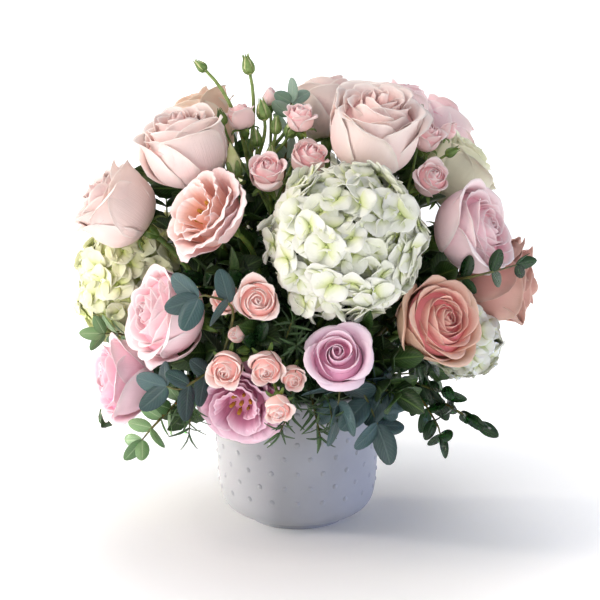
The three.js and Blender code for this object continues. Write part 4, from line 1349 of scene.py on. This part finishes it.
# Each twig: its path, how far its first pair and its blades are turned about it, the share of it that
# is bare, the gap between its pairs in leaf lengths, and each pair's turn from the last, in radians.
BRANCHES = {
    "eucalyptus_left": [
        ([(-52, -92, 150), (-44, -116, 188), (-60, -130, 200), (-80, -134, 196)], 90, 70, 0.68, 0.7, 0.2),
        ([(-64, -104, 140), (-80, -120, 133), (-104, -116, 136)], 90, 70, 0.35, 0.7, 0.2),
    ],
    "eucalyptus_low": [
        ([(46, -84, 126), (45, -106, 130), (53, -118, 114), (62, -124, 92)], 0, 78, 0.3, 0.56, 0.2),
        ([(34, -92, 124), (30, -112, 130), (26, -122, 104)], 0, 80, 0.5, 0.6, 0.2),
        ([(50, -94, 126), (61, -118, 132), (63, -128, 144)], 60, 30, 0.16, 0.6, 0.6),
    ],
    "eucalyptus_top": [([(-10, 4, 262), (-8, -2, 300), (-3, -8, 334)], 0, 75, 0.16, 0.46, 0.6)],
    "eucalyptus_back": [([(-28, 96, 124), (-40, 134, 118), (-48, 148, 90)], 0, 50, 0.16, 0.46, 0.6)],
    "ruscus_right": [
        ([(84, -44, 118), (112, -70, 106), (140, -76, 90)], 90, 75, 0.16, 0.6, 0.35),
        ([(88, -54, 114), (100, -82, 98), (106, -92, 82)], 0, 50, 0.16, 0.6, 0.35),
        ([(86, -50, 120), (98, -80, 122), (108, -98, 124)], 90, 60, 0.16, 0.6, 0.35),
        ([(90, -56, 116), (114, -84, 108), (128, -98, 102)], 80, 70, 0.16, 0.6, 0.35),
    ],
    "ruscus_left": [
        ([(-82, -60, 114), (-102, -88, 98), (-118, -96, 80)], 70, 60, 0.16, 0.5, 0.35),
        ([(-112, -24, 140), (-134, -14, 148), (-158, -18, 150)], 90, 75, 0.16, 0.5, 0.35),
    ],
    "ruscus_side": [([(104, -60, 196), (132, -78, 206), (166, -62, 212)], 90, 75, 0.3, 0.9, 0.2)],
    "ruscus_back": [([(60, 92, 130), (90, 124, 126), (106, 138, 100)], 60, 60, 0.16, 0.5, 0.35)],
}
TIP_LEAF = 0.6  # a twig ends this share of a leaf short, for the leaf at its tip
TRUNK = (1.4, 1.3)
TWIG = (1.2, 0.6)
LEAF_THICKNESS = 0.016  # of its length


def leaf_shape(name, outline, fold, droop, rows, columns=2, teeth=0.0):
    """A leaf 1 mm long up +Z, with its upper face to -X. outline gives its half width."""
    heights = (1 - np.cos(np.linspace(0, math.pi, rows + 1))) / 2
    half = np.array([outline(height) for height in heights])
    half = half * (1 + teeth * (np.arange(rows + 1) % 2))
    across, up = np.meshgrid(np.linspace(-1, 1, columns + 1), heights)
    side = across * half[:, None]
    grid = np.stack([droop * up**2 - fold * np.abs(side), side, up], 2)
    pile = Pile()
    pile.add(sheet(grid, LEAF_THICKNESS), sheet_marks(up, (across + 1) / 2))
    return stored(pile.piece(name))


def leaf_finish(name, dark, light, vein, gloss, vein_share):
    """A leaf blade with a pale midrib, side veins and uneven green, one shade for each leaf."""
    finish = Finish(name)
    along, side, _, _ = finish.marks()
    away = abs(side - 0.5) * 2.0
    blotch = finish.noise(120.0, 3.0)
    colour = finish.mix(finish.shade() * 0.7 + blotch * 0.4 - 0.1, dark, light)
    midrib = 1 - away.ramp(0.02, 0.12)
    rib_place = (along * 9.0 - away * 3.0).maths("FRACT")
    ribs = (1 - abs(rib_place - 0.5).ramp(0.0, 0.16)) * 0.45
    veins = midrib.maths("MAXIMUM", ribs)
    return finish.surface(
        Base_Color=finish.mix(veins * vein_share, colour, vein),
        Roughness=gloss + 0.15 * blotch,
        Normal=finish.bump(veins, -0.0004, 0.6),
        Subsurface_Weight=0.08,
        Subsurface_Radius=(0.4, 1.0, 0.2),
        Subsurface_Scale=0.002,
        Specular_IOR_Level=0.45,
    )


def rose_outline(up):
    return 0.012 + 0.3 * math.sin(math.pi * min(1, up**0.8)) ** 0.75


def eucalyptus_outline(up):
    return 0.012 + 0.3 * math.sin(math.pi * up**0.9) ** 0.48


def box_outline(up):
    return 0.01 + 0.27 * math.sin(math.pi * up**0.95) ** 0.55


def needle_outline(up):
    return 0.02 + 0.06 * math.sin(math.pi * up**0.6)


ROSE_SHAPE = leaf_shape("rose_leaf_shape", rose_outline, 0.35, 0.14, 12, teeth=0.09)
ROSE_LEAF = leaf_finish("rose_leaf", "#12280f", "#35521f", "#6f8a48", 0.36, 0.5)
ROUND_SHAPE = leaf_shape("eucalyptus_leaf_shape", eucalyptus_outline, 0.1, 0.14, 10, 4)
BLUE_LEAF = leaf_finish("eucalyptus_leaf", "#1d3133", "#496466", "#7d938c", 0.4, 0.22)
GREY_LEAF = leaf_finish("pale_eucalyptus_leaf", "#7f9b8c", "#aec3b4", "#c4d3c6", 0.42, 0.3)
BOX_SHAPE = leaf_shape("box_leaf_shape", box_outline, 0.14, 0.12, 8)
BOX_LEAF = leaf_finish("box_leaf", "#0a1f0b", "#1f4420", "#44683a", 0.2, 0.3)
PALE_BOX_LEAF = leaf_finish("pale_box_leaf", "#335a2c", "#8fb07c", "#cddcb4", 0.3, 0.4)
NEEDLE_SHAPE = leaf_shape("needle_shape", needle_outline, 0.5, 0.3, 4)
NEEDLE_LEAF = leaf_finish("needle_leaf", "#16301a", "#456636", "#9fb688", 0.34, 0.5)
TWIG_SKIN = stem_finish("brown_green_twig", "#3b3a1c", "#6c7038")

# The length, shape and finish of each branch's leaves.
BRANCH_LEAVES = {
    "eucalyptus_left": (24.0, ROUND_SHAPE, BLUE_LEAF),
    "eucalyptus_low": (29.0, ROUND_SHAPE, BLUE_LEAF),
    "eucalyptus_top": (19.0, ROUND_SHAPE, GREY_LEAF),
    "eucalyptus_back": (29.0, ROUND_SHAPE, BLUE_LEAF),
    "ruscus_right": (18.0, BOX_SHAPE, BOX_LEAF),
    "ruscus_left": (19.0, BOX_SHAPE, PALE_BOX_LEAF),
    "ruscus_side": (17.0, BOX_SHAPE, BOX_LEAF),
    "ruscus_back": (20.0, BOX_SHAPE, BOX_LEAF),
}


def twig_recipe():
    """Leaves in pairs along wires, each pair turned from the last, with one at the tip."""
    floats = "Spacing, Bare, Lean, Pair Turn, First Turn, Twist, Size"
    recipe = Recipe("twigs", Object="Leaf", Float=floats, Int="Seed", Material="Skin, Blade")
    curve = recipe.add("GeometryNodeMeshToCurve", Mesh=recipe.given("Geometry"))
    upright = recipe.add("GeometryNodeSetCurveNormal", {"mode": "Z_UP"}, Curve=curve)
    leafy = recipe.add("GeometryNodeTrimCurve", Curve=upright, Start=recipe.given("Bare"))
    sockets = {"Curve": leafy, "Length": recipe.given("Spacing")}
    outs = ("Points", "Rotation")
    points, rotation = recipe.add("GeometryNodeCurveToPoints", {"mode": "LENGTH"}, sockets, outs)
    sockets = {"Geometry": points, "Amount": 2}
    points = recipe.add("GeometryNodeDuplicateElements", {"domain": "POINT"}, sockets)
    index = recipe.add("GeometryNodeInputIndex")
    pair = (index / 2.0 + 0.01).maths("FLOOR")
    seed = recipe.given("Seed")
    angle = recipe.given("First Turn") + pair * recipe.given("Pair Turn")
    angle = angle + (index - pair * 2.0) * math.pi + recipe.random(-0.3, 0.3, seed)
    rotation = recipe.turn(rotation, (0.0, 0.0, 1.0), angle)
    lean = recipe.given("Lean") * recipe.random(0.8, 1.2, seed + 1.0)
    rotation = recipe.turn(rotation, (0.0, 1.0, 0.0), lean)
    twist = recipe.given("Twist") + recipe.random(-0.6, 0.6, seed + 2.0)
    rotation = recipe.turn(rotation, (0.0, 0.0, 1.0), twist)
    leaf = recipe.model("Leaf")
    size = recipe.given("Size") * recipe.random(0.75, 1.1, seed + 3.0)
    leaves = recipe.copies(points, leaf, rotation, size)
    end = recipe.add("GeometryNodeCurveEndpointSelection", Start_Size=0, End_Size=1)
    sockets = {"Rotation": recipe.aligned("Z", recipe.add("GeometryNodeInputTangent"))}
    sockets["Vector"] = recipe.add("GeometryNodeInputNormal")
    settings = {"axis": "X", "pivot_axis": "Z"}
    along = recipe.add("FunctionNodeAlignRotationToVector", settings, sockets)
    tips = recipe.copies(upright, leaf, along, recipe.given("Size"), Selection=end)
    blades = recipe.shaded(recipe.joined(tips, leaves), seed)
    return recipe.finish((tube(recipe, upright, 5), "Skin"), (blades, "Blade"))


TWIGS = twig_recipe()


def grow_twigs(name, wires, shape, blade, skin=TWIG_SKIN, **values):
    wires = polyline(name, wires)
    return grow(TWIGS, name, wires, Leaf=shape, Skin=skin, Blade=blade, **values)


def make_branches():
    for number, (name, twigs) in enumerate(BRANCHES.items()):
        length, shape, blade = BRANCH_LEAVES[name]
        start, towards = np.array(twigs[0][0][:2], float)
        trunk = stem_line(start, unit(towards - start))
        parts = [grow_stems("trunk", [(trunk, *TRUNK)], STALK_SIDES, TWIG_SKIN)]
        for i, (path, turn, twist, bare, gap, pair_turn) in enumerate(twigs):
            path = [trunk[-2], *path] if i else [trunk[-1], *path[1:]]
            path[-1] = path[-1] - unit(np.subtract(path[-1], path[-2])) * TIP_LEAF * length
            twig = grow_twigs(
                "twig",
                [(through(path), *TWIG)],
                shape,
                blade,
                Spacing=gap * length * MM,
                Bare=bare,
                Lean=1.0,
                Pair_Turn=pair_turn,
                First_Turn=math.radians(turn),
                Twist=math.radians(twist),
                Size=length,
                Seed=10 * number + i,
            )
            parts.append(twig)
        settle(join(f"{name}_branch", parts), name)


MIDDLE = np.array((0.0, 0.0, 160.0))
FRONT = direction(-90, CAMERA_ELEVATION)
BACK_STARTS = 40.0  # blooms behind this don't show in front
LOW_FRONT = (6, -55, 132)  # right of, before and below this, branches hang in front


def room(point):
    """How far a point is from the nearest bloom, less than 0 inside it."""
    return min(np.linalg.norm(point - middle) - radius for middle, radius in BLOOMS)


def hides(point):
    """Whether a leaf here would stand before a bloom, or low in front, where branches hang."""
    if point[0] > LOW_FRONT[0] and point[1] < LOW_FRONT[1] and point[2] < LOW_FRONT[2]:
        return True
    for middle, radius in BLOOMS:
        outside = unit(middle - MIDDLE)
        for way in (outside, FRONT) if middle[1] < BACK_STARTS else (outside,):
            along = np.dot(point - middle, way)
            beside = np.linalg.norm(point - middle - along * way)
            if along > -0.4 * radius and beside < 0.9 * radius:
                return True
    return False


ROSE_LEAF_PLACES = (0.3, 0.45, 0.6, 0.75, 0.9)  # up a rose's stem
ROSE_LEAF_STALK = (0.9, 0.5)
ROSE_LEAF_REACH = 50
ROSE_LEAF_TRIES = 14
ENOUGH_ROOM = 14.0
LOWEST_LEAF = 96.0
WIDEST_LEAF = 150.0
HIDING_COST = 30.0


def leaf_stalks(draw, line):
    """Wires for the compound leaves on a rose's stem. Each goes the roomiest way of a few."""
    wires = []
    along = unit(line[-1] - line[2])
    for place in ROSE_LEAF_PLACES:
        base = line[int(place * (len(line) - 1))]
        best = None
        for _ in range(ROSE_LEAF_TRIES):
            side = np.cross(along, (draw.gauss(0, 1), draw.gauss(0, 1), draw.gauss(0, 1)))
            way = unit(side / (np.linalg.norm(side) + 1e-9) * 0.85 + along * 0.75)
            length = ROSE_LEAF_REACH * draw.uniform(0.7, 1.1)
            tip = base + way * length
            gap = min(room(tip), room(base + way * 0.6 * length), ENOUGH_ROOM)
            if tip[2] < LOWEST_LEAF or math.hypot(tip[0], tip[1]) > WIDEST_LEAF or hides(tip):
                gap -= HIDING_COST
            if best is None or gap > best[0]:
                best = (gap, way, length)
        gap, way, length = best
        if gap < 0:
            continue
        sag = np.array((0, 0, -0.12 * length))
        steps = ((0, 0), (0.35, 0), (0.7, 0.4), (1, 1))
        stalk = [base + way * far * length + sag * low for far, low in steps]
        wires.append((stalk, *ROSE_LEAF_STALK))
    return wires


def make_rose_leaves():
    draw = random.Random(3)
    wires = [wire for line in ROSE_LINES for wire in leaf_stalks(draw, line)]
    values = {"Spacing": 15 * MM, "Bare": 0.3, "Lean": 1.0, "Size": 26.0, "Seed": 5}
    leaves = grow_twigs("rose_leaves", wires, ROSE_SHAPE, ROSE_LEAF, GREEN_SKIN, **values)
    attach(leaves, "root")


ROSEMARY = [
    [(-6, -60, 122), (-4, -92, 114), (-12, -114, 100)],
    [(8, -60, 122), (12, -94, 112), (16, -116, 98)],
    [(-4, -60, 140), (-8, -98, 160), (-4, -112, 178)],
    [(18, -58, 124), (22, -96, 122), (24, -118, 112)],
    [(-58, -50, 122), (-74, -88, 112), (-76, -106, 98)],
]
ROSEMARY_STALK = (1.0, 0.5)
FILL_STALK = (1.1, 0.6)
FILL_CENTRE = np.array((0.0, 0.0, 128.0))
FILL_SPRIGS = 90
FILL_START = 44  # from the centre
FILL_REACH = 128.0
SHORTEST_FILL = 60
FILL_CUT = 6  # taken off a sprig at a time, until it clears the blooms
FILL_CLEARANCE = 2
FILL_LOWEST = -8
FILL_HIGHEST = 82

# Each kind of fill: its leaves' shape, finish, length and spacing, and its sprigs out of every five.
FILL = {
    "rose_leaf_fill": (ROSE_SHAPE, ROSE_LEAF, 26.0, 14.0, (0, 3)),
    "box_leaf_fill": (BOX_SHAPE, BOX_LEAF, 19.0, 9.0, (1, 4)),
    "rosemary_fill": (NEEDLE_SHAPE, NEEDLE_LEAF, 15.0, 3.6, (2,)),
}


def fill_lines(draw):
    """Lines out of the foam in all directions, each cut short of the blooms."""
    wires = []
    low, high = (math.sin(math.radians(limit)) for limit in (FILL_LOWEST, FILL_HIGHEST))
    for i in range(FILL_SPRIGS):
        height = (i + 0.5) / FILL_SPRIGS
        elevation = math.degrees(math.asin(low * (1 - height) + high * height))
        azimuth = math.degrees(i * GOLDEN_ANGLE) + draw.uniform(-8, 8)
        way = direction(azimuth, elevation + draw.uniform(-5, 5))
        start = FILL_CENTRE + way * FILL_START
        length = FILL_REACH * draw.uniform(0.75, 1.0)
        end = FILL_CENTRE + way * length
        while length > SHORTEST_FILL and (room(end) < FILL_CLEARANCE or hides(end)):
            length -= FILL_CUT
            end = FILL_CENTRE + way * length
        if length <= SHORTEST_FILL:
            continue
        sag = (0, 0, draw.uniform(-8, 4))
        middle = (start + end) / 2 + draw.uniform(-4, 4)
        wires.append((through([start, middle, end + sag], 5), *FILL_STALK))
    return wires


def make_fill():
    wires = fill_lines(random.Random(77))
    for i, (name, (shape, blade, size, spacing, fifths)) in enumerate(FILL.items()):
        chosen = [wire for k, wire in enumerate(wires) if (k * 7) % 5 in fifths]
        if shape is NEEDLE_SHAPE:
            chosen += [(through(points), *ROSEMARY_STALK) for points in ROSEMARY]
        values = {"Spacing": spacing * MM, "Bare": 0.25, "Lean": 0.95, "Pair_Turn": 1.4}
        values |= {"Size": size, "Seed": 900 + i}
        sprigs = grow_twigs(name, chosen, shape, blade, **values)
        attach(sprigs, "root")


make_branches()
make_rose_leaves()
make_fill()
